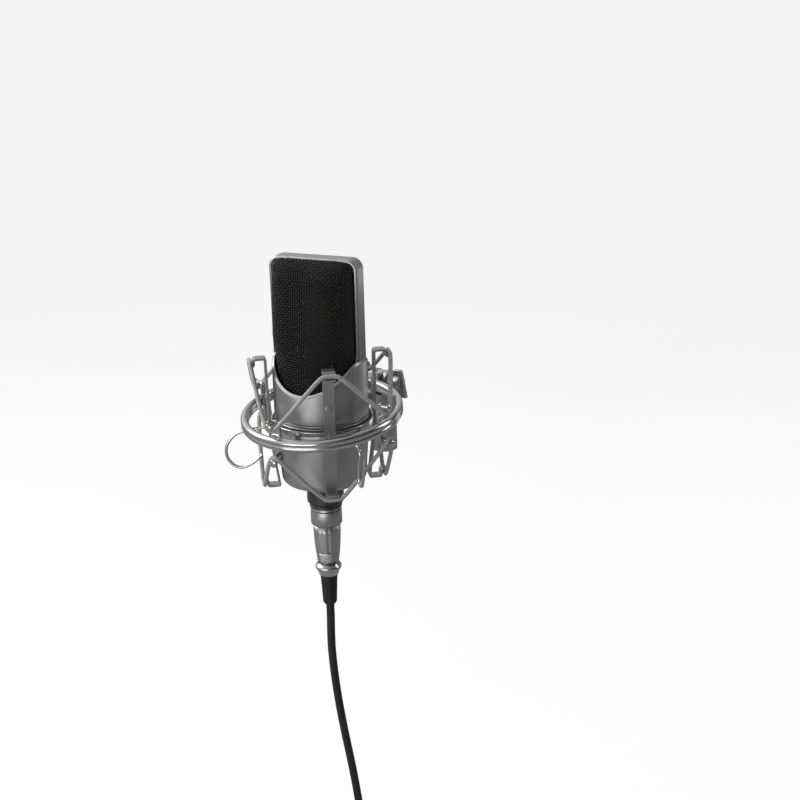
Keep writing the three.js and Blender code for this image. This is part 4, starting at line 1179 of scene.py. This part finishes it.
def add_far_connector():
    side = CABLE_ROUTE[-1][0]
    place = shifted(CRADLE, in_cable_plane(side, BOOT_HEIGHT))
    add_boot("ribbed_connector_boot", "connector_boot", place, -CONNECTOR_BOOT, 0)
    top = -CONNECTOR_BOOT - GAP
    foot = top - CONNECTOR_LENGTH
    barrel = [
        (0, foot + 15), (8, foot + 15), (8, foot), (9.4, foot), (9.4, foot + 5), (9.1, foot + 5.4),
        (9.1, foot + 6.2), (9.4, foot + 6.6), (9.4, foot + 23), (8.6, foot + 24.5), (8.3, foot + 28),
        (7.4, foot + 40), (6.7, foot + 47), (6.3, top), (0, top),
    ]
    shell = turned(rounded(barrel, 0.3), 120)
    piece("connector_barrel", shell, place, "lead", "satin_nickel", ["connector_shell"])
    disc = [(0, foot + 13), (7.8, foot + 13), (7.8, foot + 15.1), (0, foot + 15.1)]
    piece("connector_insert", turned(rounded(disc, 0.2)), place, "lead", "black_plastic")
    contact = [(0, foot + 13), (0, foot + 2), (0.9, foot + 2), (1.2, foot + 3), (1.2, foot + 13)]
    pin = turned(rounded(contact, 0.3), 20)
    pins = [
        moved(pin, Matrix.Translation((*polar(CONTACT_CIRCLE, angle), 0)))
        for angle in np.radians(CONTACT_ANGLES)
    ]
    piece("connector_pins", joined(*pins), place, "lead", "brass")


def add_coil_tie():
    """A hook-and-loop strap round the turns at the top of the coil."""
    low, high = COIL_RADIUS - 12, COIL_RADIUS + STRAP_REACH
    outline = [(-STRAP_REACH, low), (STRAP_REACH, low), (STRAP_REACH, high), (-STRAP_REACH, high)]
    route = [Vector(point) for point in rounded(outline, 4, 6)]
    rows = []
    for thickness, side in ((0, 1), (STRAP_THICKNESS, 1), (STRAP_THICKNESS, -1), (0, -1)):
        row = []
        for index, here in enumerate(route):
            direction = (route[(index + 1) % len(route)] - route[index - 1]).normalized()
            depth, height = here + thickness * Vector((direction.y, -direction.x))
            row.append(in_cable_plane(COIL_SIDE + side * STRAP_HALF_WIDTH, COIL_HEIGHT + height, depth))
        rows.append(row)
    strap = piece("coil_strap", grid(rows, closed_rows=True), CRADLE, "lead", "felt", ["coil_tie"])
    bevelled(strap, 0.3)


# ---- Swivel ----------------------------------

FORK_HALF_WIDTH = 6.2
KNOB_START = 8.3  # along the pivot, past the fork and the washer
HUB_LENGTH = 5.8
PIVOT_CLEARANCE = 3.3
WING_THICKNESS = 2.6
# Outline of the wing: out from the hub's start, and up from the pivot.
WING_OUTLINE = ((0.2, -4.6), (3.4, -8.8), (9.4, -8.8), (6, 8.4), (0.2, 8.4))
WASHER_RADIUS = 6
WASHER_TEETH = 24
THREAD_RADIUS = 4.76  # 3/8 inch stand thread
THREAD_PITCH = 1.5875  # 16 threads per inch
THREAD_TURNS = 11
THREAD_FOOT = 0.8


def add_swivel():
    pivot = shifted(SWIVEL, (0, 0, PIVOT_HEIGHT))
    corners = rounded([(KNOB_START + out, up) for out, up in WING_OUTLINE], 1.2, 4)
    wing = moved(prism(corners, WING_THICKNESS), UPRIGHT)
    hub_profile = [
        (PIVOT_CLEARANCE, 0), (4.6, 0), (4.6, HUB_LENGTH - 1), (3.6, HUB_LENGTH), (0, HUB_LENGTH),
        (0, 3.2), (PIVOT_CLEARANCE, 3.2),
    ]
    hub = along_x(turned(rounded(hub_profile, 0.4), 48), KNOB_START)
    knob = piece("winged_knob", joined(wing, hub), pivot, "wing", "satin_nickel", ["wing_knob"])
    bevelled(knob, 0.6, 3)

    def toothed(angle, radius, height):
        return radius + (0.25 * cos(WASHER_TEETH * angle) if radius > WASHER_RADIUS - 1 else 0)

    section = [(PIVOT_CLEARANCE, 0), (WASHER_RADIUS, 0), (WASHER_RADIUS, 1.5), (PIVOT_CLEARANCE, 1.5)]
    washer = along_x(turned(rounded(section, 0.2), 192, toothed), FORK_HALF_WIDTH + GAP)
    piece("toothed_washer", washer, pivot, "swivel", "chrome", ["pivot_washer"])
    helix = [
        (*polar(THREAD_RADIUS, angle), THREAD_FOOT + THREAD_PITCH * angle / (2 * pi))
        for angle in np.linspace(0, 2 * pi * THREAD_TURNS, 400)
    ]
    piece("socket_thread", tube(helix, 0.4, 5), SWIVEL, "swivel", "brass")


def add_capsule_screws():
    """Eight screw heads round the film on each side of the capsule."""
    screws = []
    for angle in np.radians(np.arange(0, 360, 45)):
        side, height = polar(SCREW_CIRCLE, angle, 0, CAPSULE_HEIGHT)
        place = Matrix.Translation((side, -4.9, height))
        screws.append(moved(dome(0.9, 0.7), place @ UPRIGHT))
    for side, place in SIDES_OF_HEAD:
        piece(f"capsule_screws_{side}", joined(*screws), place, "microphone", "brass")


# ---- Stage -----------------------------------


FLOOR_DROP = 0.004  # metres
FLOOR_SIZE = 60


def add_floor():
    half = FLOOR_SIZE / 2
    height = cad_box[0].z - FLOOR_DROP
    corners = [(-half, -half, height), (half, -half, height), (half, half, height), (-half, half, height)]
    mesh = bpy.data.meshes.new("floor")
    mesh.from_pydata(corners, [], [[0, 1, 2, 3]])
    mesh.materials.append(floor_paper())
    new_object("floor", mesh)


def add_light(name, place, size, power):
    """A soft light at a place in metres from the ring's centre, turned towards it."""
    data = bpy.data.lights.new(name, "AREA")
    data.shape = "RECTANGLE"
    data.size, data.size_y = size
    data.energy = power
    light = new_object(name, data)
    light.location = RING_CENTRE + Vector(place)
    light.visible_camera = False
    light.rotation_mode = "QUATERNION"
    light.rotation_quaternion = (-Vector(place)).to_track_quat("-Z", "Y")


ROOM_STRENGTH = 0.95
BRIGHT_WAY = (-0.92, -0.25, 0.30)  # the room is pale towards the camera's left, and dark behind
PAPER_TONE = 0.93


def add_room():
    """Near-white paper as the camera sees it, and in reflections a room with one pale side."""
    world = bpy.data.worlds.new("room")
    world.use_nodes = True
    tree = world.node_tree
    way = add_node(tree, "ShaderNodeTexCoord").outputs["Generated"]
    towards = add_node(tree, "ShaderNodeVectorMath", {0: way, 1: BRIGHT_WAY}, operation="DOT_PRODUCT")
    range_of = {"Value": towards.outputs["Value"], "From Min": -0.5, "To Min": 0.06}
    shade = add_node(tree, "ShaderNodeMapRange", range_of)
    room = tree.nodes["Background"]
    room.inputs["Strength"].default_value = ROOM_STRENGTH
    tree.links.new(shade.outputs["Result"], room.inputs["Color"])
    paper = add_node(tree, "ShaderNodeBackground", {"Color": (*grey(PAPER_TONE), 1)})
    seen = add_node(tree, "ShaderNodeLightPath").outputs["Is Camera Ray"]
    both = {"Fac": seen, 1: room.outputs["Background"], 2: paper.outputs["Background"]}
    mix = add_node(tree, "ShaderNodeMixShader", both)
    tree.links.new(mix.outputs["Shader"], tree.nodes["World Output"].inputs["Surface"])
    bpy.context.scene.world = world
    bpy.context.scene.view_settings.view_transform = "Standard"


# Name, place in metres from the ring's centre, size in metres, and power in watts.
LIGHTS = (
    ("key", (-1.1, -0.35, 0.8), (0.7, 0.9), 12),
    ("front", (0.1, -1.4, -0.12), (1.1, 0.5), 5),
    ("rim", (0.9, 0.8, 0.6), (0.3, 0.9), 3),
    ("back", (0.34, 1.25, -0.2), (0.3, 0.3), 0.4),
)


# ---- Build -----------------------------------

add_camera()
lead = add_cord()
add_elastics()
add_grilles()
add_head_frame()
add_upper_body()
add_lower_body()
add_ring()
add_brackets()
add_posts()
add_handles()
add_collar()
add_plug()
add_far_connector()
add_coil_tie()
add_swivel()
add_capsule_screws()
for node in frame["nodes"].values():
    if not node.hide_render:
        finish_cad_node(node.name)
add_floor()
for light in LIGHTS:
    add_light(*light)
add_room()
